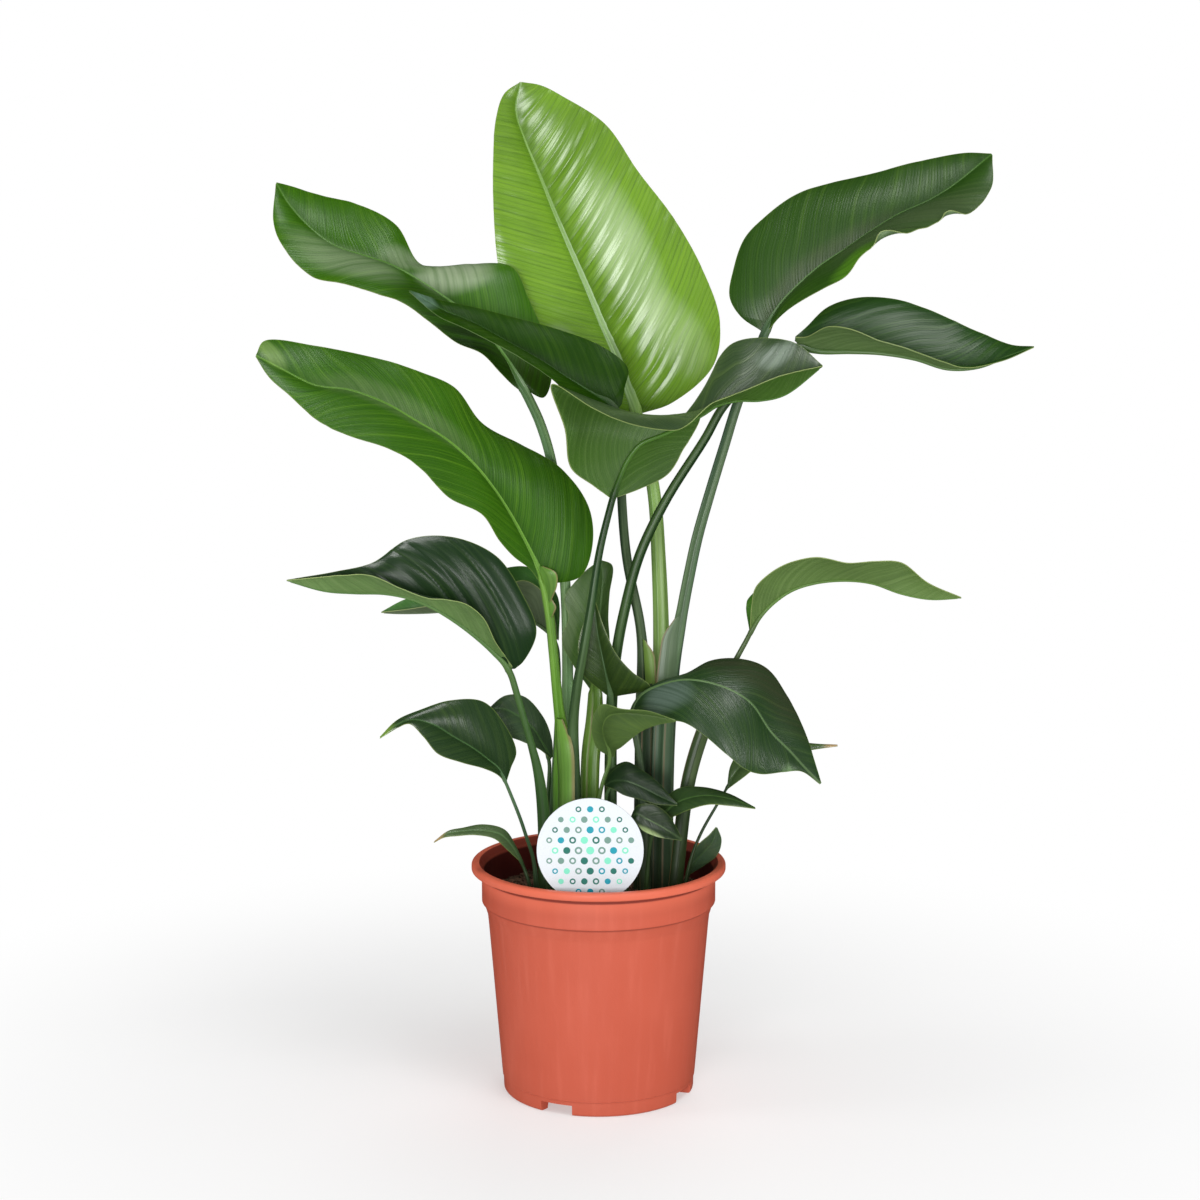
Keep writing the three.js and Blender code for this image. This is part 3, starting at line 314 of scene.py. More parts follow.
LOOKS = {
    "leaf_a_top": dict(
        upper=(113, 157, 41), under=(110, 150, 60), rib=(162, 192, 138), stalk=(118, 158, 72),
        rough=0.29, shine=0.65, shade=0.8, pleats=(0.8, 2.6), pitch=13.5, midrib=1.35, lean=(0.52, 0.52),
        mottle=1.0, arch=(0.05, 0.12), waves=0.3, grain=0.7,
        patches=[(0.45, 36, 0.24, 26, 0.42, (198, 220, 176)), (0.24, 46, 0.13, 26, 0.32, (196, 218, 168)),
                 (0.24, -38, 0.06, 16, 0.45, (166, 184, 150))],
    ),
    "leaf_b_left": dict(
        upper=(30, 66, 2), under=(66, 100, 50), rib=(52, 94, 30), stalk=(42, 64, 42),
        rough=0.4, shine=0.2, pleats=0.25, margin=0.15, flap=(122, 156, 66),
        patches=[(0.93, 0, 0.08, 14, 0.45, (120, 150, 135))],
    ),
    "leaf_c_upper_left": dict(
        upper=(54, 104, 2), under=(84, 112, 66), rib=(96, 142, 58), stalk=(104, 144, 94),
        rough=0.42, shine=0.35, lean=(0.9, 0.9), mottle=1.0,
        patches=[(0.43, 20, 0.1, 30, 0.75, SHEEN), (0.68, -16, 0.22, 22, 0.45, SHEEN),
                 (0.56, 12, 0.08, 16, 0.45, SHEEN), (0.22, -22, 0.38, 30, 0.9, (18, 40, 6)),
                 (0.05, 14, 0.14, 30, 0.8, (34, 52, 10))],
    ),
    "leaf_d_left": dict(
        upper=(53, 101, 10), under=(88, 130, 50), rib=(112, 160, 58), stalk=(89, 142, 36),
        rough=0.4, shine=0.35, lean=(2.2, 1.3), mottle=1.5,
        patches=[(0.95, 8, 0.05, 12, 0.3, (170, 200, 120)), (0.62, 4, 0.3, 12, 0.35, (112, 134, 88))],
    ),
    "leaf_e_centre": dict(
        upper=(58, 79, 49), under=(63, 102, 25), rib=(92, 138, 60), stalk=(34, 65, 30),
        pleats=0.3, patches=[(0.77, -30, 0.08, 12, 0.5, (150, 166, 152))],
    ),
    "leaf_g_upper_right": dict(
        upper=(43, 78, 19), under=(90, 116, 74), rib=(78, 122, 46), stalk=(67, 94, 69), flap=(104, 124, 92),
        rough=0.42, shine=0.4, pleats=0.25, lean=(0.7, 1.6),
        curls=[(1, 0.43, 0.62, 7, 140), (1, 0.68, 0.82, 5, 140)],
        patches=[(0.3, -3, 0.4, 12, 0.3, (82, 88, 60)), (0.62, 26, 0.42, 28, 0.5, (84, 96, 70)),
                 (0.36, 46, 0.16, 14, 0.65, (88, 142, 28))],
    ),
    "leaf_h_right": dict(
        upper=(31, 67, 19), under=(83, 111, 57), rib=(84, 122, 60), stalk=(31, 63, 24),
        rough=0.4, shine=0.42, pleats=0.7, pitch=15, lean=(1.9, 1.9), mottle=1.3, grain=0.4,
    ),
    "leaf_i_lower_left": dict(
        upper=(26, 51, 26), under=(105, 139, 75), rib=(70, 110, 60), stalk=(52, 88, 38),
        rough=0.33, shine=0.55, pleats=2.0, pitch=24, lean=(1.5, 2.0), grain=0.2,
    ),
    "leaf_j_behind": dict(upper=(80, 134, 64), under=(96, 112, 82), rib=(90, 116, 70), stalk=(68, 103, 58)),
    "leaf_k_middle": dict(
        upper=(71, 102, 49), under=(62, 92, 48), rib=(90, 124, 66), stalk=(86, 126, 36),
        patches=[(0.5, -24, 0.6, 8, 0.5, (118, 136, 100)), (0.35, 6, 0.4, 10, 0.5, (40, 64, 26))],
    ),
    "leaf_l_inner": dict(upper=(48, 70, 27), under=(60, 88, 50), rib=(70, 100, 60), stalk=(54, 84, 46)),
    "leaf_m_front": dict(
        upper=(84, 110, 56), under=(96, 126, 58), rib=(88, 112, 56), stalk=(84, 118, 52),
        midrib=0.35, margin=0.3,
    ),
    "leaf_n_small": dict(
        upper=(22, 41, 21), under=(62, 90, 50), rib=(52, 74, 42), stalk=(60, 92, 48),
        rough=0.42, shine=0.3, midrib=0.4, margin=0.3,
    ),
    "leaf_o_low_right": dict(upper=(48, 72, 37), under=(76, 110, 52), rib=(68, 98, 48), stalk=(62, 94, 48)),
    "leaf_p_drooping": dict(
        upper=(37, 63, 32), under=(70, 104, 52), rib=(104, 132, 84), stalk=(59, 79, 56),
        pleats=0.3, lean=(1.5, 1.8), mottle=0.9, midrib=0.35,
        patches=[(0.55, -34, 0.6, 32, 0.75, (52, 54, 38)), (0.88, 14, 0.08, 10, 0.55, (130, 165, 110)),
                 (0.22, 10, 0.14, 16, 0.55, (110, 128, 120))],
    ),
    "leaf_q_arching": dict(
        upper=(74, 124, 42), under=(100, 132, 62), rib=(100, 138, 66), stalk=(48, 69, 36), mottle=0.9,
    ),
    "leaf_r_seedling": dict(
        upper=(76, 100, 58), under=(90, 112, 66), rib=(96, 124, 72), stalk=(50, 75, 43), tip=(166, 140, 96),
    ),
    "leaf_s_small_left": dict(
        upper=(38, 60, 33), under=(60, 92, 48), rib=(72, 108, 58), stalk=(65, 98, 66),
        rough=0.3, grain=0.3, tip=(104, 134, 52),
    ),
    "leaf_t_small_behind": dict(
        upper=(60, 80, 58), under=(60, 88, 48), rib=(74, 106, 58), stalk=(52, 84, 46),
    ),
    "leaf_u_low_left": dict(
        upper=(88, 109, 72), under=(92, 120, 76), rib=(96, 126, 80), stalk=(58, 88, 50), tip=(166, 140, 96),
    ),
    "leaf_v_shoot": dict(upper=(71, 93, 69), under=(60, 84, 52), rib=(74, 102, 62), stalk=(56, 82, 48)),
    "leaf_w_beside_label": dict(
        upper=(28, 45, 22), under=(96, 124, 66), rib=(66, 88, 50), stalk=(60, 88, 46),
        midrib=0.4, margin=0.4, patches=[(0.55, 10, 0.6, 5, 0.9, (150, 172, 112))],
    ),
}

# Thin flaps on a stalk: the free side or tip of a sheath, or the collar under a blade. Each has two lines,
# where it grows from the stalk (root) and its free edge. pale says how far it takes the flap's own colour,
# and bulge how far it stands forward between the lines for its width.
FLAPS = {
    "leaf_g_upper_right": [
        dict(root=[(61, 8, 361), (59, 7, 345), (58, 6, 326), (56, 5, 304)],
             edge=[(56, 6, 357), (48, 5, 345), (45, 4, 330), (42, 3, 304)], pale=0.55),
    ],
    "leaf_b_left": [
        dict(root=[(33, 10, 341), (34, 10, 327), (35, 10, 308)],
             edge=[(35, 9, 340), (41, 8, 330), (43, 8, 308)], pale=0.75),
    ],
    "leaf_d_left": [
        dict(root=[(-43, -18, 400), (-41, -19, 393), (-38, -18, 384), (-36, -17, 373)],
             edge=[(-40, -20, 400), (-31, -23, 396), (-30, -22, 387), (-35, -18, 373)], pale=0.1),
        dict(root=[(-36, -17, 375), (-36, -17, 370), (-35, -17, 363)],
             edge=[(-34, -18, 376), (-31, -19, 370), (-34, -17, 362)], pale=0.1),
        dict(root=[(-30, -13, 287), (-29, -13, 269), (-28, -13.5, 240), (-28, -13.5, 205)],
             edge=[(-26, -19, 286), (-19, -29.5, 270), (-17.5, -29.5, 240), (-17, -29, 205)],
             pale=0.1, bulge=1.4),
    ],
}

UPPER, UNDER, STALK = 0, 1, 2  # the materials of a leaf, in their order
BLADE_THICKNESS = 0.55
FLAP_THICKNESS = 0.6
FLAP_LIP = 2.2  # how wide the dry lip of a flap is
ROW_STEP = 1.25  # between rows of a blade's mesh
COLUMN_STEP = 1.6
STALK_STEP = 2.2
BROAD_RIBS = 6  # a blade with more side ribs than this is a broad one
SMALL_STEP = 0.8  # the row step of the other blades, as a share
SMALL_PITCH = 0.55  # and the pitch of their pleats
VEIN_SWEEP = 0.0035  # how much more the side veins lean further out
VEIN_UNIT = 100  # millimetres to one unit of the map that the veins are drawn on
VEIN_WANDER = (2.8, 24)  # how far the side veins wander, and how slowly
END_FADE = 8  # how far from its ends a blade is plain
FULL_WIDTH = 60  # a half this wide has the full relief, and a narrower one has less
PLEAT_DEPTH = 0.7
PLEAT_POWER, PLEAT_LEVEL = 0.8, 0.55  # how round a pleat is, and how much of its height lies below the sheet
PLEAT_MEAN = 0.62  # the mean depth of the pleats, as a share of the deepest
PLEATS_BEGIN = 0.5  # how far from the midrib the pleats begin
PLEATS_FULL = (1.5, 9)  # how far out they are full on the narrowest half, and how much further on a full one
MARGIN_FLAT, TIP_FLAT = 0.45, 0.8  # how much of their depth they lose to the margin, and to the tip
WAVES = ((1.5, 34), (0.5, 12))  # of a blade and its margin: how high, and how long
MARGIN_DIP = 0.35  # how far the margin bends down
JOINT_BLEND = 14  # how far round the blade's base the stalk's line is softened
RIB_SLIM = 12  # how far past the base the midrib takes on its own width
RIB_FADE = 0.85  # the power by which the midrib narrows to the tip
RIB_END = 0.35  # its radius at the tip
RIB_SINK = 0.4  # how deep it lies in the blade, as a share of its radius
RIB_HEIGHT, RIB_CROWN = 0.45, 0.12  # how far its face stands above the blade, and its sides above that
CHANNEL_LEVEL, CHANNEL_RISE = 0.82, 0.5  # how high a stalk's channel lies, and rises to its sides
SHEATH_DROP, SHEATH_RISE = 0.2, 0.45  # how much lower it lies in a sheath, and how much more it rises
LIP_PLACE, LIP_WIDTH = 0.5, 0.07  # of the lips of a stalk's channel, as shares of its half width
LIP_ON_STALK = 0.25  # how brown the lips are above the sheath, as a share of how brown they are in it
STALK_SIDES = (40, 22)  # of a broad leaf, and of the others


def linear(colour):
    """A colour given as 0 to 255 as a shader's own numbers."""
    return [((c / 255 + 0.055) / 1.055) ** 2.4 if c > 10 else c / 255 / 12.92 for c in colour] + [1]


def blend(a, b, share):
    return tuple(x + (y - x) * share for x, y in zip(a, b))


def smooth(value, low, high):
    t = np.clip((value - low) / (high - low), 0, 1)
    return t * t * (3 - 2 * t)


def unit(vectors):
    return vectors / np.maximum(np.linalg.norm(vectors, axis=-1, keepdims=True), 1e-9)


def dot(p, q):
    return np.sum(p * q, axis=-1)


def wander(x, seed, step=1.0):
    """A smooth random line between -1 and 1 with a turn about every step."""
    knots = np.random.default_rng(seed).uniform(-1, 1, 400)
    at = np.clip(np.asarray(x, float) / step + 100, 0, 397)
    i = at.astype(int)
    t = at - i
    t = t * t * (3 - 2 * t)
    return knots[i] * (1 - t) + knots[i + 1] * t


def spline(points, at):
    """Points on the centripetal Catmull-Rom curve through the given points, at shares of their count."""
    p = np.asarray(points, float)
    ends = np.vstack([2 * p[0] - p[1], p, 2 * p[-1] - p[-2]])
    where = np.clip(at, 0, 1) * (len(p) - 1)
    i = np.minimum(where.astype(int), len(p) - 2)
    w = (where - i)[:, None]
    p0, p1, p2, p3 = (ends[i + k] for k in range(4))
    gap = lambda a, b: np.maximum(np.linalg.norm(b - a, axis=1, keepdims=True), 1e-6) ** 0.5
    d0, d1, d2 = gap(p0, p1), gap(p1, p2), gap(p2, p3)
    t1 = ((p1 - p0) / d0 - (p2 - p0) / (d0 + d1) + (p2 - p1) / d1) * d1
    t2 = ((p2 - p1) / d1 - (p3 - p1) / (d1 + d2) + (p3 - p2) / d2) * d1
    return p1 + w * (t1 + w * (3 * (p2 - p1) - 2 * t1 - t2 + w * (2 * (p1 - p2) + t1 + t2)))


def lengths(line):
    """How far each point of a line is from its start, along it."""
    return np.concatenate([[0], np.cumsum(np.linalg.norm(np.diff(line, axis=0), axis=1))])


def read_off(at, reach, vectors):
    """Vectors at other places of a line along which they are known."""
    return np.stack([np.interp(at, reach, column) for column in vectors.T], 1)


def mean_near(values, reach):
    """The mean of each value and its neighbours to both sides."""
    window = 2 * reach + 1
    return np.convolve(np.pad(values, reach, "edge"), np.ones(window) / window, "valid")


# ---- Meshes -------------------------------------------------------------------------------------


class Build:
    """Gathers the points and faces of one piece, with each face's material and each point's numbers."""

    def __init__(self):
        self.points, self.faces, self.slots = [], [], []
        self.count = 0
        self.numbers = {}

    def add(self, points, faces, slot, **numbers):
        points = np.asarray(points, float).reshape(-1, 3)
        for name in self.numbers | numbers:
            held = self.numbers.setdefault(name, [np.zeros(self.count)])
            values = np.asarray(numbers.get(name, 0.0), float).ravel()
            held.append(np.broadcast_to(values, len(points)))
        self.points.append(points)
        self.faces += [tuple(v + self.count for v in face) for face in faces]
        self.slots += slot if isinstance(slot, list) else [slot] * len(faces)
        self.count += len(points)

    def finish(self, name, materials, node, sharp=50):
        mesh = bpy.data.meshes.new(name)
        mesh.from_pydata((np.vstack(self.points) * MM).tolist(), [], self.faces)
        for material in materials:
            mesh.materials.append(material)
        mesh.polygons.foreach_set("material_index", self.slots)
        mesh.polygons.foreach_set("use_smooth", [True] * len(mesh.polygons))
        numbers = {key: np.concatenate(held) for key, held in self.numbers.items()}
        if "phase" in numbers:
            layer = mesh.uv_layers.new(name="vein")
            at = np.zeros(len(mesh.loops), int)
            mesh.loops.foreach_get("vertex_index", at)
            pair = np.stack([numbers.pop("across"), numbers.pop("phase")], 1)[at]
            layer.data.foreach_set("uv", (pair / VEIN_UNIT).ravel())
        for key, values in numbers.items():
            mesh.attributes.new(key, "FLOAT", "POINT").data.foreach_set("value", values)
        mesh.set_sharp_from_angle(angle=math.radians(sharp))
        mesh.validate()
        piece = bpy.data.objects.new(name, mesh)
        bpy.context.scene.collection.objects.link(piece)
        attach(piece, "root")
        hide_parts(node)
        return piece


def strip_faces(rows, columns, closed=False):
    """The quads of a grid of points. A closed grid joins its last column to its first."""
    at = np.arange(rows * columns).reshape(rows, columns)
    if closed:
        at = np.hstack([at, at[:, :1]])
    return np.stack([at[:-1, :-1], at[:-1, 1:], at[1:, 1:], at[1:, :-1]], -1).reshape(-1, 4).tolist()


def add_sheet(build, grid, thickness, front_slot, other_slot, **numbers):
    """Adds a thin closed sheet whose middle is a grid of points: its front, its back and its rim."""
    rows, columns = grid.shape[:2]
    count = rows * columns
    facing = unit(np.cross(np.gradient(grid, axis=1), np.gradient(grid, axis=0)))
    half = facing * thickness / 2
    front = strip_faces(rows, columns)
    others = [[v + count for v in reversed(quad)] for quad in front]
    for a in range(0, count - columns, columns):
        b, c, d = a + columns, a + columns - 1, a + 2 * columns - 1
        others += [(a, b, b + count, a + count), (c, c + count, d + count, d)]
    for i in range(columns - 1):
        e = count - columns + i
        others += [(i, i + count, i + 1 + count, i + 1), (e, e + 1, e + 1 + count, e + count)]
    slots = [front_slot] * len(front) + [other_slot] * len(others)
    both = {key: np.broadcast_to(values, (2, rows, columns)) for key, values in numbers.items()}
    build.add([grid + half, grid - half], front + others, slots, **both)


# ---- Blades -------------------------------------------------------------------------------------


class Blade:
    """The sheet of one blade as a grid of points, from its left margin over the midrib to the right."""

    def __init__(self, name, leaf, look):
        self.look = look
        self.broad = len(leaf["middle"]) > BROAD_RIBS
        self.pitch = look["pitch"] * (1 if self.broad else SMALL_PITCH)
        ribs = np.array([leaf["left"], leaf["middle"], leaf["right"]], float)
        first = self.narrow(leaf["base"], ribs[:, 0], leaf["radii"][1])
        last = self.narrow(leaf["tip"], ribs[:, -1], TIP_WIDTH / 2)
        curves = np.concatenate([first[:, None], ribs, last[:, None]], axis=1)
        dense = np.linspace(0, 1, 1500)
        fine = np.array([spline(curve, dense) for curve in curves])
        reach = np.concatenate([[0], np.cumsum(np.linalg.norm(np.diff(fine, axis=1), axis=2).max(0))])
        step = ROW_STEP * (1 if self.broad else SMALL_STEP)
        at = np.interp(np.linspace(0, reach[-1], max(40, int(reach[-1] / step))), reach, dense)
        left, self.middle, right = (spline(curve, at) for curve in curves)
        self.arc = lengths(self.middle)
        self.share = self.arc / self.arc[-1]
        self.along = unit(np.gradient(self.middle, axis=0))
        widest = max(np.linalg.norm(margin - self.middle, axis=1).max() for margin in (left, right))
        self.columns = int(np.clip(widest / COLUMN_STEP, 12, 46))
        self.normals = 0
        seed = sum(map(ord, name))
        halves = zip(self.half(left, -1, seed), self.half(right, 1, seed + 50))
        joined = [np.concatenate([a[:, ::-1], b[:, 1:]], axis=1) for a, b in halves]
        self.grid, self.across, self.phase, self.edge = joined
        self.normals = unit(self.normals)
        self.slopes = [self.slope(column) for column in (self.columns - 3, self.columns + 3)]

    @staticmethod
    def narrow(at, rib, width):
        """The narrow first or last section of a blade, as wide as given to each side."""
        return np.array(at, float) + unit(rib - rib[1]) * width

    def half(self, margin, sign, seed):
        """One half blade: its points, how far across they are, their vein phase, and how far in they are."""
        reach = margin - self.middle
        w = np.linalg.norm(reach, axis=1)[:, None]
        normal = unit(np.cross(reach, self.along) * sign)
        self.normals = self.normals + normal
        share = np.linspace(0, 1, self.columns + 1)[None, :]
        # Across the midrib's line, and along it: a side vein sweeps from one into the other.
        skew = dot(reach, self.along)[:, None] * share
        across = np.sqrt(np.maximum(1 - (skew / np.maximum(w * share, 1e-6)) ** 2, 0.05)) * w * share
        phase = self.arc[:, None] + skew - self.look["lean"][int(sign > 0)] * across - VEIN_SWEEP * across**2
        phase = phase + VEIN_WANDER[0] * wander(phase, seed, VEIN_WANDER[1])
        arch = np.interp(self.arc, [0, self.arc[-1]], self.look["arch"][::-1])[:, None]
        pleats = float(np.broadcast_to(self.look["pleats"], 2)[int(sign > 0)])
        lift = w * arch * 4 * share * (1 - share) + self.relief(across, phase, share, w, pleats, seed)
        flat = self.middle[:, None] + reach[:, None] * share[..., None]
        points = flat + normal[:, None] * lift[..., None]
        for side, start, end, curl, degrees in self.look["curls"]:
            if side == sign:
                self.roll(points, start, end, curl, math.radians(degrees))
        ends = np.clip(np.minimum(self.arc, self.arc[-1] - self.arc) / END_FADE, 0, 1)[:, None, None]
        return flat * (1 - ends) + points * ends, across * sign, phase, w * (1 - share)

    def roll(self, points, start, end, curl, turn):
        """Rolls the margin over between two shares of the blade's length."""
        middle = (start + end) / 2
        amount = smooth(self.share, start, middle) * (1 - smooth(self.share, middle, end))
        for k in np.nonzero(amount > 0.01)[0]:
            row = points[k]
            away = lengths(row)
            fold = away[-1] - curl * amount[k] ** 0.5
            past = np.clip((away - fold) / curl, 0, 1)
            first = int(np.argmax(past > 0))
            if first < 2:
                continue
            out = unit(row[first] - row[first - 1])
            up = unit(np.cross(out, self.along[k]))
            up = up * np.sign(np.dot(up, self.normals[k]))
            bend = turn * amount[k] * past[first:, None]
            moves = (out * np.cos(bend) + up * np.sin(bend)) * np.diff(away)[first - 1:, None]
            row[first:] = row[first - 1] + np.cumsum(moves, axis=0)

    def relief(self, across, phase, share, width, pleats, seed):
        """The pleats between side veins, and the slower waves of the sheet and its margin."""
        size = np.minimum(width / FULL_WIDTH, 1)
        pleat = np.abs(np.sin(math.pi * phase / self.pitch)) ** PLEAT_POWER - PLEAT_LEVEL
        depth = PLEAT_MEAN + (1 - PLEAT_MEAN) * wander(phase, seed + 1, self.pitch)
        clear = smooth(across, PLEATS_BEGIN, PLEATS_FULL[1] * size + PLEATS_FULL[0])
        clear = clear * (1 - MARGIN_FLAT * smooth(share, 0.75, 1))
        clear = clear * (1 - TIP_FLAT * smooth(self.share, 0.86, 0.97))[:, None]
        veins = clear * size * pleats * PLEAT_DEPTH * depth * pleat
        waves = sum(height * wander(phase, seed + 2 + k, length) for k, (height, length) in enumerate(WAVES))
        waves = waves * size * share**2 * self.look["waves"]
        return veins + waves - MARGIN_DIP * size * smooth(share, 0.9, 1)

    def slope(self, column):
        """How steeply a half leaves the midrib, up to the given column."""
        away = self.grid[:, column] - self.grid[:, self.columns]
        wide = np.abs(dot(away, np.cross(self.along, self.normals)))
        return mean_near(dot(away, self.normals) / np.maximum(wide, 0.3), 8)

    def add_to(self, build):
        add_sheet(build, self.grid, BLADE_THICKNESS, UPPER, UNDER, across=self.across, phase=self.phase,
                  rib=np.abs(self.across), edge=self.edge, share=self.share[:, None])


# ---- Stalks -------------------------------------------------------------------------------------


class Stalk:
    """A sheath and stalk that runs on as the midrib of its blade."""

    def __init__(self, leaf, blade):
        half_width, half_depth, sheath_top = leaf["sheath"]
        thick, thin = leaf["radii"]
        emerge = np.array([*leaf["foot"], SOIL_TOP + 2.0])
        base = np.array(leaf["base"], float)
        end = base + unit(np.array(leaf["middle"][0], float) - base) * thin * 1.2
        path = spline([emerge, *leaf["stalk"], end], np.linspace(0, 1, 1200))
        cut = int(np.argmin(np.linalg.norm(path - base, axis=1)))
        stem = np.vstack([emerge - [0, 0, PLANT_DEPTH], path[: cut + 1]])
        rib = blade.middle[(blade.arc > 1.5) & (blade.arc < 0.985 * blade.arc[-1])]
        line = np.vstack([stem, rib])
        reach = lengths(line)
        self.at = np.linspace(0, reach[-1], int(reach[-1] / STALK_STEP))
        self.over = self.at - reach[len(stem) - 1]  # how far past the blade's base
        line = read_off(self.at, reach, line)
        # The stalk runs into the midrib without a kink.
        soft = np.stack([mean_near(column, 5) for column in line.T], 1)
        near = np.exp(-((self.over / JOINT_BLEND) ** 2))[:, None]
        line = line * (1 - near) + soft * near
        tangent = unit(np.gradient(line, axis=0))

        on_rib = self.over > 0
        self.share = np.clip(self.over / blade.arc[-1], 0, 1)
        rise = np.clip((line[:, 2] - emerge[2]) / (end[2] - emerge[2]), 0, 1)
        midrib = blade.look["midrib"]
        slim = midrib + (1 - midrib) * np.exp(-np.maximum(self.over, 0) / RIB_SLIM)
        radius = thick + (thin - thick) * rise
        radius = np.where(on_rib, thin * slim * (1 - self.share) ** RIB_FADE + RIB_END, radius)
        wrap = np.where(on_rib, 0, 1 - smooth(line[:, 2], sheath_top - SHEATH_FADE, sheath_top))
        a = radius + (half_width - radius) * wrap
        b = radius + (half_depth - radius) * wrap
        facing = self.facings(blade, tangent)
        sink = np.where(on_rib, RIB_SINK * radius * smooth(self.over, 0, 25), 0)
        line = line - facing * sink[:, None]
        slopes = [np.interp(self.over, blade.arc, slope) for slope in blade.slopes]
        sides = STALK_SIDES[0] if blade.broad else STALK_SIDES[1]
        self.rings(line, tangent, facing, a, b, sink, wrap, slopes, sides)

    def facings(self, blade, tangent):
        """Where the stalk's channel looks: the way of the blade's upper face, carried down the stalk."""
        start = int(np.argmax(self.over > 0))
        facing = read_off(self.over, blade.arc, blade.normals)
        facing[start:] -= tangent[start:] * dot(facing[start:], tangent[start:])[:, None]
        facing = unit(facing)
        for k in range(start - 1, -1, -1):
            carried = facing[k + 1] - tangent[k] * np.dot(facing[k + 1], tangent[k])
            facing[k] = carried / np.linalg.norm(carried)
        return unit(facing)

    def rings(self, line, tangent, facing, a, b, sink, wrap, slopes, sides):
        """The rings of points round the stalk: an oval of half width a and half depth b with a channel."""
        across = unit(np.array([1.0, 0, 0]) - tangent * tangent[:, :1])
        back = np.cross(tangent, across)
        wide = np.cross(tangent, facing)
        angle = np.arange(sides) / sides * math.tau
        way = wide[:, None] * np.cos(angle)[None, :, None] + facing[:, None] * np.sin(angle)[None, :, None]
        radius = 1 / np.sqrt((dot(way, across[:, None]) / a[:, None]) ** 2
                             + (dot(way, back[:, None]) / b[:, None]) ** 2)
        x, y = radius * np.cos(angle), radius * np.sin(angle)
        half, deep = (np.sqrt((dot(v, across) * a) ** 2 + (dot(v, back) * b) ** 2)[:, None]
                      for v in (wide, facing))
        wrap, sink = wrap[:, None], sink[:, None]
        u = x / half
        rise = CHANNEL_RISE + SHEATH_RISE * wrap
        channel = deep * ((CHANNEL_LEVEL - SHEATH_DROP * wrap) + rise * u**2)
        on_blade = smooth(self.over, -10, 22)[:, None]
        slope = np.where(x < 0, slopes[0][:, None], slopes[1][:, None])
        flat = sink + RIB_HEIGHT + slope * np.abs(x) + RIB_CROWN * u**2
        cap = channel * (1 - on_blade) + flat * on_blade
        lip = np.exp(-(((np.abs(u) - LIP_PLACE) / LIP_WIDTH) ** 2)) * (y > 0)
        lip = lip * (LIP_ON_STALK + (1 - LIP_ON_STALK) * wrap)
        y = np.minimum(y, cap)
        self.points = line[:, None] + wide[:, None] * x[..., None] + facing[:, None] * y[..., None]
        level = y >= cap - 0.01
        reach = np.max(np.where(level, np.abs(x), 0), axis=1, keepdims=True)
        spread = lambda values: np.broadcast_to(values, x.shape)
        self.numbers = dict(
            across=spread(angle * half.mean()), phase=spread(self.at[:, None]), lip=lip,
            blade=spread(smooth(self.over, -6, 30)[:, None]), top=level * on_blade,
            side=np.abs(x) / np.maximum(reach, 0.1), share=spread(self.share[:, None]),
        )

    def add_to(self, build):
        rows, sides = self.points.shape[:2]
        faces = strip_faces(rows, sides, closed=True)
        faces += [tuple(reversed(range(sides))), tuple(range((rows - 1) * sides, rows * sides))]
        build.add(self.points, faces, STALK, **self.numbers)


def add_flap(build, root, edge, pale, bulge=0.5):
    """A thin flap between two lines, which stands forward between them and waves a little at its edge."""
    rows, columns = 24, 7
    at = np.linspace(0, 1, rows)
    a, b = spline(root, at), spline(edge, at)
    share = np.linspace(0, 1, columns)[None, :, None]
    out = unit(np.cross(b - a + 1e-6, unit(np.gradient(a + b, axis=0))))
    out = (out * -np.sign(out[:, 1:2]))[:, None]
    width = np.linalg.norm(b - a, axis=1)[:, None, None]
    grid = a[:, None] + (b - a)[:, None] * share + out * width * bulge * share * (1 - share)
    grid = grid + out * 0.25 * np.sin(9 * at)[:, None, None] * share
    lip_start = np.clip(1 - FLAP_LIP / np.maximum(width[..., 0], 0.1), 0.5, 0.95)
    add_sheet(build, grid, FLAP_THICKNESS, STALK, STALK, across=share[..., 0] * width.max(),
              phase=lengths(a)[:, None], lip=smooth(share[..., 0], lip_start, 1), pale=pale)


# ---- Materials ----------------------------------------------------------------------------------

MIX_A, MIX_B, MIX_COLOUR = 6, 7, 2  # the colour sockets of a Mix node: two inputs and the output


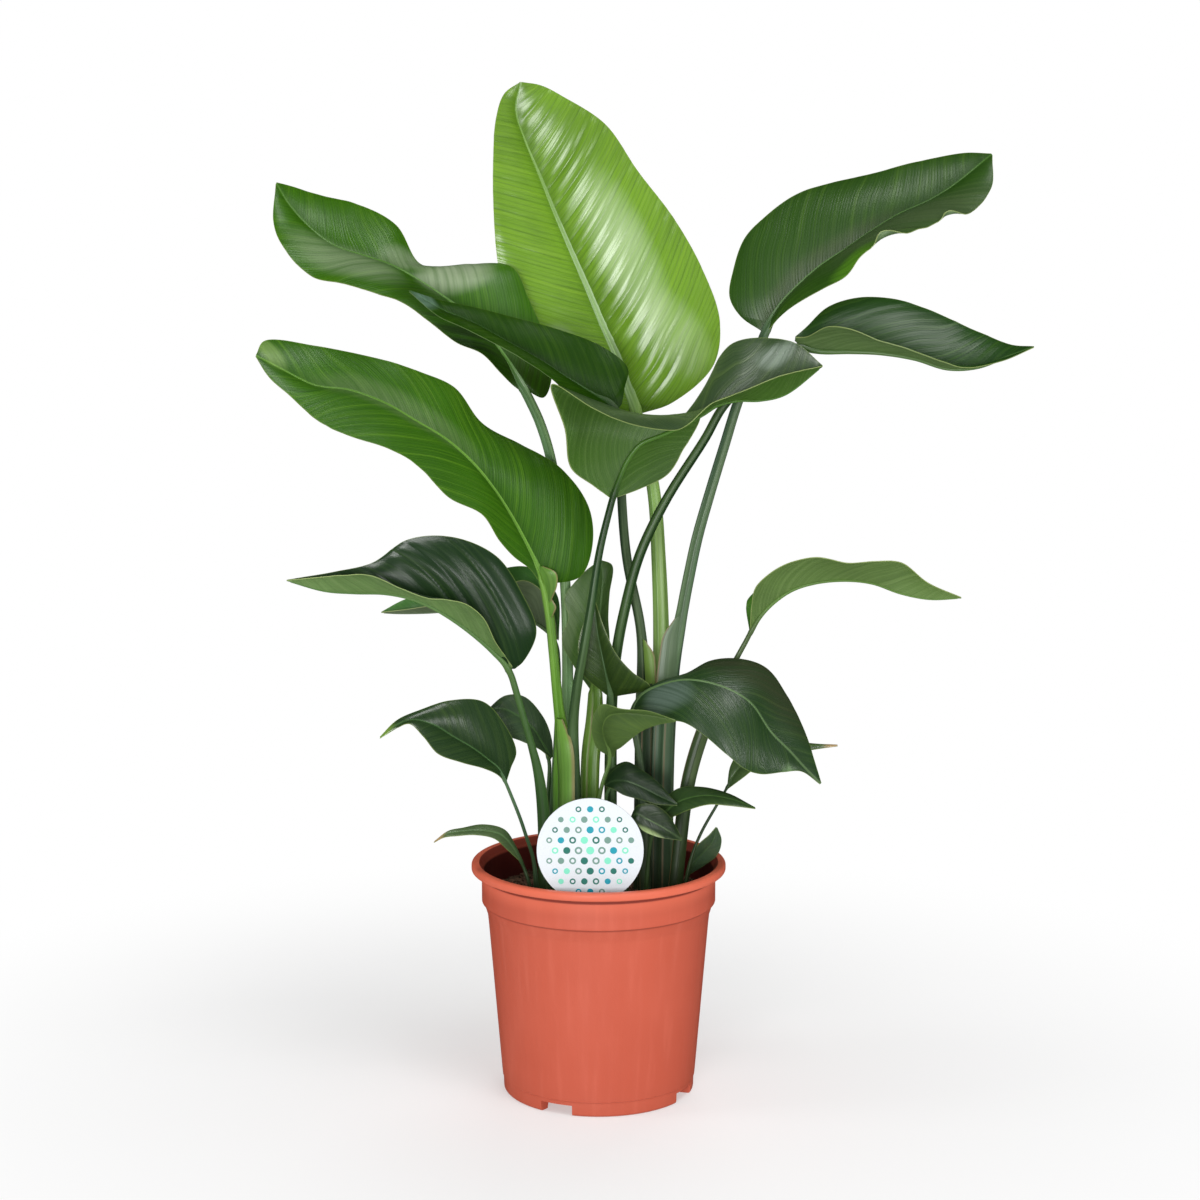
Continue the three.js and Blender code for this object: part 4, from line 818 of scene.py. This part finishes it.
class Graph:
    """The nodes of one material. Colours are given as 0 to 255."""

    def __init__(self, name):
        self.material = bpy.data.materials.new(name)
        self.material.use_nodes = True
        self.nodes, self.links = self.material.node_tree.nodes, self.material.node_tree.links
        self.nodes.clear()

    def node(self, kind, inputs, output=0, **settings):
        made = self.nodes.new("ShaderNode" + kind)
        for key, value in settings.items():
            setattr(made, key, value)
        for key, value in inputs.items():
            if isinstance(value, bpy.types.NodeSocket):
                self.links.new(value, made.inputs[key])
            else:
                made.inputs[key].default_value = value
        return made.outputs[output]

    def attribute(self, name):
        return self.node("Attribute", {}, "Fac", attribute_name=name)

    def place(self):
        return self.node("TexCoord", {}, "Object")

    def stretched(self, vector, *scales):
        return self.node("VectorMath", {0: vector, 1: scales}, operation="MULTIPLY")

    def vein(self, x, y):
        return self.stretched(self.node("UVMap", {}, uv_map="vein"), x, y, 1)

    def axis(self, vector, name):
        return self.node("SeparateXYZ", {0: vector}, name)

    def noise(self, at, scale=1.0, detail=2.0, rough=0.5):
        return self.node("TexNoise", {"Vector": at, "Scale": scale, "Detail": detail, "Roughness": rough})

    def math(self, operation, a, b=0.0):
        return self.node("Math", {0: a, 1: b}, operation=operation)

    def times(self, a, b):
        return self.math("MULTIPLY", a, b)

    def span(self, value, low, high, to_low=0.0, to_high=1.0):
        inputs = {"Value": value, "From Min": low, "From Max": high, "To Min": to_low, "To Max": to_high}
        return self.node("MapRange", inputs, interpolation_type="SMOOTHSTEP")

    def mix(self, share, a, b):
        a, b = (linear(colour) if isinstance(colour, tuple) else colour for colour in (a, b))
        return self.node("Mix", {0: share, MIX_A: a, MIX_B: b}, MIX_COLOUR, data_type="RGBA")

    def tints(self, colour, *steps):
        """Mixes in each step's colour where its value nears the second limit, up to its strength."""
        for value, low, high, strength, other in steps:
            colour = self.mix(self.span(value, low, high, 0, strength), colour, other)
        return colour

    def bump(self, height, distance, strength):
        return self.node("Bump", {"Height": height, "Distance": distance, "Strength": strength})

    def surface(self, **inputs):
        named = {key.replace("_", " "): value for key, value in inputs.items()}
        return self.output(self.node("BsdfPrincipled", named))

    def output(self, shader):
        self.links.new(shader, self.nodes.new("ShaderNodeOutputMaterial").inputs["Surface"])
        return self.material


def vein_lines(g, pitch):
    """How near a point is to a pleat's valley, and to one of the finer veins between: 0 to 1."""
    along = g.axis(g.vein(1, VEIN_UNIT / pitch), "Y")
    off = lambda value: g.math("ABSOLUTE", g.math("SUBTRACT", g.math("FRACT", value), 0.5))
    return g.span(off(along), 0.4, 0.5), g.span(off(g.times(along, 3.0)), 0.28, 0.5)


def upper_material(name, look, pitch):
    top, contrast, rough = look["upper"], look["mottle"], look["rough"]
    g = Graph(name + "_upper")
    valley, minor = vein_lines(g, pitch)
    rib, edge, share = (g.attribute(key) for key in ("rib", "edge", "share"))
    patches = g.noise(g.place(), 16, 3)
    wide = g.noise(g.vein(1.3, 17), 1, 2)
    fine = g.noise(g.vein(3, 75), 1, 3, 0.6)
    lines = g.noise(g.vein(2, 240), 1, 2)
    light = blend(top, (178, 210, 70), 0.2)
    dark = blend(top, (10, 34, 2), 0.36)
    colour = g.tints(
        top,
        (patches, 0.35, 0.68, 0.45, dark),
        (wide, 0.45, 0.75, 0.6 * contrast, light),
        (fine, 0.5, 0.72, 0.5 * contrast, dark),
        (fine, 0.48, 0.3, 0.3 * contrast, light),
        (lines, 0.5, 0.7, 0.22, light),
    )
    colour = g.mix(g.times(minor, 0.36 * contrast), colour, dark)
    uneven = g.span(g.noise(g.vein(5, VEIN_UNIT / pitch), 1, 1), 0.35, 0.65, 0.05, 0.5)
    colour = g.mix(g.times(g.times(valley, uneven), contrast), colour, dark)
    colour = g.tints(
        colour,
        (rib, 9, 1.5, 0.45, dark),
        (rib, 1.2, 0.4, 0.5, look["rib"]),
        (edge, 0.7, 0.2, 0.57 * look["margin"], (128, 150, 70)),
        # painted shade next to the stalk
        (share, 0.15, 0.0, look["shade"], dark),
    )
    # The patches: mostly painted sheen, highlights and glow where pale, and painted shade where dark.
    across = g.axis(g.vein(VEIN_UNIT, 1), "X")
    for at, aside, half_length, half_width, strength, tint in look["patches"]:
        away = g.times(g.math("SUBTRACT", share, at), 1 / half_length)
        beside = g.times(g.math("SUBTRACT", across, aside), 1 / half_width)
        off = g.math("ADD", g.times(away, away), g.times(beside, beside))
        painted_patch = g.times(g.span(off, 1.0, 0.0), g.span(wide, 0.3, 0.6, 0.55 * strength, strength))
        colour = g.mix(painted_patch, colour, tint)
    if "tip" in look:
        colour = g.tints(colour, (share, 0.86, 0.95, 1, look["tip"]))
    ripple = g.noise(g.vein(2, 60), 1, 1)
    height = g.math("SUBTRACT", g.math("ADD", ripple, g.times(lines, 0.12)), g.times(minor, 0.35))
    normal = g.bump(height, 0.0003, g.span(share, 0.95, 0.78, 0, 0.5 * look["grain"]))
    return g.surface(Base_Color=colour, Roughness=g.span(fine, 0.3, 0.75, rough - 0.06, rough + 0.02),
                     Normal=normal, Specular_IOR_Level=look["shine"])


def under_material(name, look, pitch):
    under, contrast = look["under"], look["mottle"]
    g = Graph(name + "_under")
    valley, minor = vein_lines(g, pitch)
    patches = g.noise(g.place(), 18, 3)
    wide = g.noise(g.vein(1.3, 22), 1, 2)
    fine = g.noise(g.vein(3, 90), 1, 3, 0.6)
    light = blend(under, (190, 205, 150), 0.2)
    dark = blend(under, (26, 46, 14), 0.35)
    colour = g.tints(
        under,
        (patches, 0.35, 0.7, 0.6, dark),
        (wide, 0.45, 0.75, 0.5 * contrast, light),
        (fine, 0.5, 0.75, 0.45 * contrast, dark),
        (fine, 0.47, 0.3, 0.35, light),
    )
    colour = g.mix(g.times(minor, 0.3), colour, dark)
    colour = g.mix(g.times(valley, 0.4), colour, light)
    colour = g.tints(colour, (g.attribute("edge"), 0.9, 0.3, look["margin"], (150, 166, 100)))
    return g.surface(Base_Color=colour, Roughness=g.span(fine, 0.3, 0.75, 0.42, 0.56),
                     Normal=g.bump(fine, 0.0004, 0.8), Specular_IOR_Level=0.6)


def stalk_material(name, look, _):
    upper, under, rib, stem = (look[key] for key in ("upper", "under", "rib", "stalk"))
    g = Graph(name + "_stalk")
    height = g.axis(g.place(), "Z")
    ridges = g.noise(g.vein(90, 0.8), 1, 2)
    stripes = g.noise(g.vein(26, 0.6), 1, 2)
    broad = g.noise(g.vein(7, 0.4), 1, 1)
    patches = g.noise(g.place(), 22, 3)
    light = blend(stem, (205, 222, 150), 0.26)
    dark = blend(stem, (20, 38, 12), 0.5)
    colour = g.tints(
        stem,
        (broad, 0.42, 0.6, 0.8, light),
        (broad, 0.48, 0.36, 0.7, dark),
        (stripes, 0.48, 0.62, 0.35, light),
        (stripes, 0.45, 0.36, 0.4, dark),
        (ridges, 0.5, 0.75, 0.3, dark),
        (patches, 0.5, 0.75, 0.3, dark),
        (height, 0.235, 0.15, 0.5, (48, 58, 34)),
    )
    colour = g.mix(g.attribute("pale"), colour, look["flap"])
    colour = g.tints(colour, (g.attribute("lip"), 0.3, 0.8, 0.7, (132, 108, 76)))
    vein = g.tints(
        rib,
        (ridges, 0.42, 0.7, 1, blend(rib, (40, 70, 24), 0.3)),
        (g.attribute("side"), 0.55, 0.3, 0.35, blend(rib, upper, 0.6)),
        (g.attribute("share"), 0.35, 0.95, 0.85, upper),
    )
    keel = g.tints(blend(rib, under, 0.5), (ridges, 0.42, 0.7, 1, under))
    colour = g.mix(g.attribute("blade"), colour, g.mix(g.attribute("top"), keel, vein))
    return g.surface(Base_Color=colour, Roughness=g.span(ridges, 0.3, 0.8, 0.33, 0.5),
                     Normal=g.bump(ridges, 0.0004, 0.6), Specular_IOR_Level=0.5)


def make_leaf(name, leaf):
    look = COMMON_LOOK | LOOKS[name]
    blade = Blade(name, leaf, look)
    build = Build()
    blade.add_to(build)
    Stalk(leaf, blade).add_to(build)
    for flap in FLAPS.get(name, []):
        add_flap(build, **flap)
    materials = [make(name, look, blade.pitch) for make in (upper_material, under_material, stalk_material)]
    build.finish(name.replace("leaf", "foliage"), materials, name)


for leaf_name, leaf_table in LEAVES.items():
    make_leaf(leaf_name, leaf_table)


# ---- Pot ----------------------------------------------------------------------------------------

ROUND = 144  # columns round the pot
NOTCH_COLUMNS = 9
INNER_POINTS = 5  # of the pot's profile, on its inside
FOOT_BAND = 11  # the height of the thin ring above the foot
FOOT_EDGE = 2.2  # how round the foot's outer edge is
BAND_EDGE = 0.7
RIM_EDGES = (1.3, 2.4, 1.2)  # below, on top and inside
RIM_SHADOW = (4.4, 3.4)  # the painted shadow line on the band under the rim: how far below the rim it starts and is full
POT_SHARP = 38  # degrees


def circle(x, z, radius, turns):
    return [(x + radius * math.cos(t), z + radius * math.sin(t)) for t in turns]


def arc(x, z, radius, start, end, count=5):
    """Points on a small round edge of the pot's profile, from one angle to the other in degrees."""
    return circle(x, z, radius, np.radians(np.linspace(start, end, count)))


def wall_radius(z):
    return float(np.interp(z, [0, STEP_BOTTOM, BAND_BOTTOM, POT_HEIGHT],
                           [FOOT_RADIUS, BODY_RADIUS, BAND_RADIUS, BAND_RADIUS]))


def turned(profile, turns):
    """A profile of (radius, height) points turned about Z: a grid with one row for each of them."""
    radii, heights = np.array(profile, float).T[:, :, None]
    return np.stack(np.broadcast_arrays(radii * np.cos(turns), radii * np.sin(turns), heights), -1)


def pot_profile():
    """From the middle of the pot's underside over the rim to the middle of its floor."""
    rim_bottom = POT_HEIGHT - RIM_DEPTH
    ring_inner = FOOT_RADIUS - FOOT_RING_WIDTH
    floor_top = FOOT_HEIGHT + WALL
    below, top, inside = RIM_EDGES
    foot = [(0, 0), (CENTRE_FOOT_RADIUS, 0), (CENTRE_FOOT_RADIUS + 1.5, FOOT_HEIGHT),
            (ring_inner - 1.5, FOOT_HEIGHT), (ring_inner, 0), (FOOT_RADIUS - 3, 0)]
    outer = arc(FOOT_RADIUS - FOOT_EDGE, FOOT_EDGE, FOOT_EDGE, -80, 0)
    outer += [(wall_radius(FOOT_HEIGHT) - 0.5, FOOT_HEIGHT), (wall_radius(FOOT_BAND) - 0.7, FOOT_BAND),
              (wall_radius(FOOT_BAND), FOOT_BAND + 0.5)]
    outer += [(wall_radius(z), z) for z in range(20, 130, 12)]
    outer += [(BODY_RADIUS, STEP_BOTTOM - 1.5), (BODY_RADIUS + 0.3, STEP_BOTTOM + 0.5),
              (BODY_RADIUS + 1.1, STEP_BOTTOM + 2.8), (BAND_RADIUS - 2.1, BAND_BOTTOM - 2.4),
              (BAND_RADIUS - 1.9, BAND_BOTTOM - 1.5), (BAND_RADIUS - 1.7, BAND_BOTTOM - 0.9)]
    outer += arc(BAND_RADIUS - BAND_EDGE, BAND_BOTTOM, BAND_EDGE, -60, 0, 4)
    band = (BAND_BOTTOM + 2, BAND_BOTTOM + 9, rim_bottom - RIM_SHADOW[0], rim_bottom - RIM_SHADOW[1])
    outer += [(BAND_RADIUS, z) for z in band]
    rim = [(BAND_RADIUS + 1, rim_bottom), (RIM_RADIUS - 1.6, rim_bottom)]
    rim += arc(RIM_RADIUS - below, rim_bottom + below, below, -90, 0, 4)
    rim += arc(RIM_RADIUS - top, POT_HEIGHT - top, top, 0, 90, 7)
    rim += arc(RIM_RADIUS - 5, POT_HEIGHT - inside, inside, 90, 170, 4)
    rim += [(BAND_RADIUS - WALL + 0.4, rim_bottom + 2)]
    inner = [(BAND_RADIUS - WALL, rim_bottom - 1), (BAND_RADIUS - WALL, BAND_BOTTOM),
             (BODY_RADIUS - WALL, STEP_BOTTOM), (wall_radius(floor_top) - WALL, floor_top), (0, floor_top)]
    return foot + outer + rim + inner


def pot_turns():
    """The turns of the pot's columns in degrees, and which are in a notch. Its two sides have both kinds."""
    half = math.degrees(math.asin(NOTCH_WIDTH / 2 / (FOOT_RADIUS - FOOT_RING_WIDTH / 2)))
    step = 360 / NOTCH_COUNT
    turns = []
    for i in range(NOTCH_COUNT):
        begin, end = NOTCH_TURN + step * i - half, NOTCH_TURN + step * i + half
        plain = np.linspace(end, begin + step, ROUND // NOTCH_COUNT - NOTCH_COLUMNS + 2)[:-1]
        turns += [(begin, False)] + [(t, True) for t in np.linspace(begin, end, NOTCH_COLUMNS)]
        turns += [(t, False) for t in plain]
    return np.array([t for t, _ in turns]), np.array([notched for _, notched in turns])


def pot_material():
    g = Graph("pot_plastic")
    at = g.place()
    height = g.axis(at, "Z")
    broad = g.noise(at, 9, 3)
    flow = g.noise(g.stretched(at, 160, 160, 9), 1, 3)
    grain = g.noise(at, 1400, 2)
    colour = g.tints(
        (198, 90, 66),
        (broad, 0.3, 0.7, 1, (191, 84, 60)),
        (flow, 0.45, 0.8, 0.25, (214, 108, 84)),
        (height, 0.03, 0.0, 0.25, (178, 84, 60)),
        # painted light: the band is lighter towards the rim, against the shade that the rim casts on it
        (height, 0.1535, 0.1645, 0.5, (238, 118, 88)),
    )
    # Painted shade: dark lines under the rim and under the band's lower edge.
    colour = g.mix(g.attribute("crease"), colour, (122, 42, 30))
    # Painted shade: the inside of the pot is darker.
    colour = g.mix(g.attribute("inner"), colour, (74, 19, 14))
    bumps = g.math("ADD", g.times(grain, 0.5), g.times(flow, 0.6))
    return g.surface(Base_Color=colour, Roughness=g.span(flow, 0.3, 0.8, 0.42, 0.55),
                     Normal=g.bump(bumps, 0.00025, 0.5), Specular_IOR_Level=0.45)


def clean(mesh):
    """Joins points that lie on each other and drops the faces that this leaves without an area."""
    work = bmesh.new()
    work.from_mesh(mesh)
    bmesh.ops.remove_doubles(work, verts=work.verts, dist=0.00001)
    bmesh.ops.dissolve_degenerate(work, edges=work.edges, dist=0.00001)
    bmesh.ops.recalc_face_normals(work, faces=work.faces)
    work.to_mesh(mesh)
    work.free()
    mesh.set_sharp_from_angle(angle=math.radians(POT_SHARP))


def make_pot():
    profile = pot_profile()
    turns, notched = pot_turns()
    grid = turned(profile, np.radians(turns))
    r, z = np.array(profile).T
    foot_ring = (r > FOOT_RADIUS - FOOT_RING_WIDTH - 2) & (z < FOOT_HEIGHT)
    grid[np.ix_(foot_ring, notched, [2])] = FOOT_HEIGHT
    # the pot's inside, which the material darkens as painted shade
    inner = np.arange(len(r)) >= len(r) - INNER_POINTS
    # Painted shade lines under the band's lower edge and under the rim.
    band_shade_line = smooth(z, BAND_BOTTOM - 2, BAND_BOTTOM - 1.3)
    band_shade_line *= 1 - smooth(z, BAND_BOTTOM - 0.5, BAND_BOTTOM)
    start, full = (POT_HEIGHT - RIM_DEPTH - below for below in RIM_SHADOW)
    rim_shade_line = smooth(z, start, full) * (r < BAND_RADIUS + 2)
    crease = np.where(inner, 0, np.maximum(0.6 * band_shade_line, 0.9 * rim_shade_line))
    build = Build()
    build.add(grid, strip_faces(len(r), len(turns), closed=True), 0,
              inner=np.repeat(inner, len(turns)), crease=np.repeat(crease, len(turns)))
    pot = build.finish("nursery_pot", [pot_material()], "pot", sharp=POT_SHARP)
    clean(pot.data)


make_pot()


# ---- Soil ---------------------------------------------------------------------------------------

SOIL_GAP = 0.6  # between the soil and the pot's wall
SOIL_BOTTOM = 10.5
SOIL_SHARP = 60
SOIL_LUMPS = ((1, 1.6), (3.1, 1.0), (8.3, 0.6))  # how fine, and how high
LUMP_SCALE = 0.045
CRUMB_COUNT = 900
CRUMB_SIZES = {0.9: 0.4, 1.3: 0.3, 1.9: 0.2, 2.8: 0.1}  # and how often each comes


def soil_material():
    g = Graph("potting_soil")
    at = g.place()
    lumps = g.noise(at, 240, 4, 0.65)
    grains = g.noise(at, 1100, 3, 0.6)
    colour = g.tints(
        (74, 55, 43),
        (lumps, 0.35, 0.7, 1, (126, 96, 76)),
        (grains, 0.55, 0.75, 0.7, (150, 120, 96)),
        (grains, 0.4, 0.25, 0.8, (16, 11, 9)),
    )
    heights = g.math("ADD", g.times(lumps, 0.7), g.times(grains, 0.4))
    return g.surface(Base_Color=colour, Roughness=0.95, Normal=g.bump(heights, 0.0016, 0.9),
                     Specular_IOR_Level=0.2)


def soil_height(x, y):
    at = Vector((x * LUMP_SCALE, y * LUMP_SCALE, 2.0))
    return SOIL_TOP + 0.3 + sum(noise.noise(at * fine) * high for fine, high in SOIL_LUMPS) * 0.8


def make_soil():
    inside = lambda z: wall_radius(z) - WALL - SOIL_GAP
    inner = inside(SOIL_TOP)
    radii = [0.01, *np.linspace(1.5, inner, 60)]
    turns = np.linspace(0, math.tau, 150, endpoint=False)
    below = [(inside(z), z) for z in (BAND_BOTTOM + 0.5, STEP_BOTTOM, 100, 60, 11)] + [(0.01, SOIL_BOTTOM)]
    grid = turned([(r, SOIL_TOP) for r in radii] + below, turns)
    for point in grid[:len(radii)].reshape(-1, 3):
        point[2] = soil_height(point[0], point[1])
    build = Build()
    build.add(grid, strip_faces(*grid.shape[:2], closed=True), 0)
    rng = np.random.default_rng(7)
    for _ in range(CRUMB_COUNT):
        r, t = inner * math.sqrt(rng.uniform(0, 1)) * 0.985, rng.uniform(0, math.tau)
        size = rng.choice(list(CRUMB_SIZES), p=list(CRUMB_SIZES.values()))
        x, y = r * math.cos(t), r * math.sin(t)
        if math.hypot(x, y) + size <= inner:
            crumb(build, rng, np.array([x, y, soil_height(x, y) + size * 0.25]), size)
    build.finish("soil_bed", [soil_material()], "soil", sharp=SOIL_SHARP)


def crumb(build, rng, centre, size):
    """A small lump of soil or bark with an uneven form."""
    golden = (1 + 5**0.5) / 2
    corners = np.array([(-1, golden, 0), (1, golden, 0), (-1, -golden, 0), (1, -golden, 0),
                        (0, -1, golden), (0, 1, golden), (0, -1, -golden), (0, 1, -golden),
                        (golden, 0, -1), (golden, 0, 1), (-golden, 0, -1), (-golden, 0, 1)]) / 1.9
    faces = [(0, 11, 5), (0, 5, 1), (0, 1, 7), (0, 7, 10), (0, 10, 11), (1, 5, 9), (5, 11, 4), (11, 10, 2),
             (10, 7, 6), (7, 1, 8), (3, 9, 4), (3, 4, 2), (3, 2, 6), (3, 6, 8), (3, 8, 9), (4, 9, 5),
             (2, 4, 11), (6, 2, 10), (8, 6, 7), (9, 8, 1)]
    shape = corners * rng.uniform(0.7, 1.25, (12, 1)) * rng.uniform(0.5, 1.2, 3) * size
    turn = np.linalg.qr(rng.normal(size=(3, 3)))[0]
    if np.linalg.det(turn) < 0:
        turn[:, 0] *= -1
    build.add(shape @ turn.T + centre, faces, 0)


make_soil()


# ---- Label --------------------------------------------------------------------------------------

ROW_HEIGHT = 7.6
DOT_STEP = 8.4
DOT_RADIUS = 2.9
DOT_FADE = 0.02  # how much smaller the dots are further out
RING_HOLE = 0.52  # as a share of the ring
DOT_MARGIN = 3.2  # kept free inside the label's edge
PRINT_HEIGHT = 0.06
HOLE_HEIGHT = 0.1  # of the white that fills a ring
PRINT_ROOT = 0.1  # how deep the print goes into the label
LABEL_SHARP = 30
LABEL_COLOURS = {"white": (220, 226, 231), "teal": (10, 152, 172), "mint": (126, 224, 192),
                 "deep": (24, 112, 98), "sage": (112, 150, 138)}


def label_material(name, colour):
    g = Graph("label_" + name)
    speck = g.noise(g.place(), 900, 2)
    shade = g.tints(colour, (speck, 0.4, 0.7, 0.18, blend(colour, (120, 124, 124), 0.3)))
    return g.surface(Base_Color=shade, Roughness=g.span(speck, 0.3, 0.7, 0.31, 0.41),
                     Normal=g.bump(speck, 0.0001, 0.3), Specular_IOR_Level=0.5)


def prism(build, outline, front, back, slot):
    """A flat plate from an outline of (x, z) points that run anticlockwise as seen from the front."""
    count = len(outline)
    points = [(x, y, z) for y in (front, back) for x, z in outline]
    faces = [tuple(range(count)), tuple(reversed(range(count, 2 * count)))]
    faces += [(i, count + i, count + (i + 1) % count, (i + 1) % count) for i in range(count)]
    build.add(points, faces, slot)


def make_label():
    cx, cy, cz = LABEL_CENTRE
    half = STAKE_WIDTH / 2
    meet = math.asin(half / LABEL_RADIUS)
    turns = np.linspace(meet - math.pi / 2, 1.5 * math.pi - meet, 90)
    outline = circle(cx, cz, LABEL_RADIUS, turns)
    outline += [(cx - half, STAKE_BOTTOM + STAKE_POINT), (cx - 1, STAKE_BOTTOM), (cx + 1, STAKE_BOTTOM),
                (cx + half, STAKE_BOTTOM + STAKE_POINT)]
    front = cy - LABEL_THICKNESS / 2
    build = Build()
    prism(build, outline, front, cy + LABEL_THICKNESS / 2, 0)
    # Staggered rows of dots and rings in cool greens.
    rng = np.random.default_rng(11)
    dot_turns = np.linspace(0, math.tau, 20, endpoint=False)
    for row in range(-4, 5):
        for column in range(-5, 6):
            x = (column + (0.5 if row % 2 else 0)) * DOT_STEP
            z = row * ROW_HEIGHT
            size = DOT_RADIUS - DOT_FADE * abs(x) - DOT_FADE * abs(z)
            if math.hypot(x, z) + size > LABEL_RADIUS - DOT_MARGIN:
                continue
            slot = 1 + int(rng.integers(0, 4))
            disc = circle(cx + x, cz + z, size, dot_turns)
            prism(build, disc, front - PRINT_HEIGHT, front + PRINT_ROOT, slot)
            if (row + column) % 2:
                hole = circle(cx + x, cz + z, size * RING_HOLE, dot_turns)
                prism(build, hole, front - HOLE_HEIGHT, front + PRINT_ROOT, 0)
    materials = [label_material(name, colour) for name, colour in LABEL_COLOURS.items()]
    build.finish("plant_label", materials, "label", sharp=LABEL_SHARP)


make_label()


# ---- Floor, light and camera --------------------------------------------------------------------
#
# These sizes are metres.

LIT_POINT = (0, 0, 0.42)
FLOOR_RADIUS = 1.3
FLOOR_LEVEL = -0.0001  # just under the pot
WHITE = (1, 1, 1, 1)
BACKDROP_GLOW = 1.0
SKY_GLOW = 0.3
# Each soft box: name, azimuth, elevation, distance, size, power, and whether the plant mirrors it. Azimuth 0
# is the camera's side of the plant and grows to the viewer's right.
LIGHTS = [
    ("key_box", -10, 2, 2.5, (1.0, 0.7), 29, True),
    ("top_box", 22, 56, 2.2, (0.9, 0.7), 18, True),
    ("left_fill", -80, 22, 2.3, (0.7, 1.1), 10, False),
    ("left_strip", -95, -9, 2.3, (0.4, 0.5), 1.4, True),
    ("right_strip", 36, -2, 2.4, (0.45, 0.5), 6, True),
    ("right_fill", 55, 20, 2.4, (1.4, 1.4), 10, False),
    ("back_fill", 165, 35, 2.4, (1.6, 1.4), 14, False),
]
CAMERA_PLACE = (0.00105, -1.9, 0.67554)
CAMERA_DOWN = 9.074  # degrees
PHOTO_WIDTH = 1200  # pixels
FOCAL_LENGTH = 2613.3  # in the same pixels
SENSOR_WIDTH = 36  # millimetres


def round_sheet(name, profile, material):
    """A sheet of revolution for the studio, from (radius, height) points in metres."""
    grid = turned(profile, np.linspace(0, math.tau, 96, endpoint=False))
    mesh = bpy.data.meshes.new(name)
    mesh.from_pydata(grid.reshape(-1, 3).tolist(), [], strip_faces(*grid.shape[:2], closed=True))
    mesh.polygons.foreach_set("use_smooth", [True] * len(mesh.polygons))
    mesh.materials.append(material)
    sheet = bpy.data.objects.new(name, mesh)
    bpy.context.scene.collection.objects.link(sheet)
    sheet.visible_glossy = False
    return sheet


def make_studio():
    """A pale floor that runs out into a white backdrop, which neither lights the plant nor shows in it."""
    g = Graph("studio_floor")
    reach = g.node("VectorMath", {0: g.place()}, "Value", operation="LENGTH")
    lit = g.node("BsdfDiffuse", {"Color": linear((246, 246, 246))})
    white = g.node("Emission", {"Color": WHITE, "Strength": BACKDROP_GLOW})
    both = g.node("MixShader", {0: g.span(reach, 0.1, 0.7, 0.42, 1), 1: lit, 2: white})
    round_sheet("studio_floor", [(r, FLOOR_LEVEL) for r in (0.001, 0.4, FLOOR_RADIUS)], g.output(both))

    g = Graph("studio_backdrop")
    glow = g.node("Emission", {"Color": WHITE, "Strength": BACKDROP_GLOW})
    wall = [(FLOOR_RADIUS, FLOOR_LEVEL), (3.5, FLOOR_LEVEL), (4.5, 0.5), (5, 2), (4.5, 4), (0.01, 6)]
    backdrop = round_sheet("studio_backdrop", wall, g.output(glow))
    backdrop.visible_diffuse = backdrop.visible_transmission = False
    backdrop.visible_shadow = backdrop.visible_volume_scatter = False


def area_light(name, azimuth, elevation, distance, size, power, mirrored):
    data = bpy.data.lights.new(name, "AREA")
    data.shape = "RECTANGLE"
    data.size, data.size_y = size
    data.energy = power
    light = bpy.data.objects.new(name, data)
    turn, rise = math.radians(azimuth), math.radians(elevation)
    way = Vector((math.sin(turn) * math.cos(rise), -math.cos(turn) * math.cos(rise), math.sin(rise)))
    light.location = Vector(LIT_POINT) + way * distance
    light.rotation_euler = way.to_track_quat("Z", "Y").to_euler()
    light.visible_camera = False
    light.visible_glossy = mirrored
    bpy.context.scene.collection.objects.link(light)


def make_light():
    world = bpy.data.worlds.new("studio_sky")
    bpy.context.scene.world = world
    world.use_nodes = True
    background = world.node_tree.nodes["Background"]
    background.inputs["Color"].default_value = WHITE
    background.inputs["Strength"].default_value = SKY_GLOW
    world.cycles_visibility.glossy = False
    for light in LIGHTS:
        area_light(*light)


def make_camera():
    camera = bpy.data.objects.new("camera", bpy.data.cameras.new("camera"))
    bpy.context.scene.collection.objects.link(camera)
    camera.location = CAMERA_PLACE
    camera.rotation_euler = (math.radians(90 - CAMERA_DOWN), 0, 0)
    camera.data.sensor_width = SENSOR_WIDTH
    camera.data.lens = SENSOR_WIDTH * FOCAL_LENGTH / PHOTO_WIDTH
    camera.data.clip_start, camera.data.clip_end = 0.05, 50
    bpy.context.scene.camera = camera


make_studio()
make_light()
make_camera()
bpy.context.scene.view_settings.view_transform = "Standard"
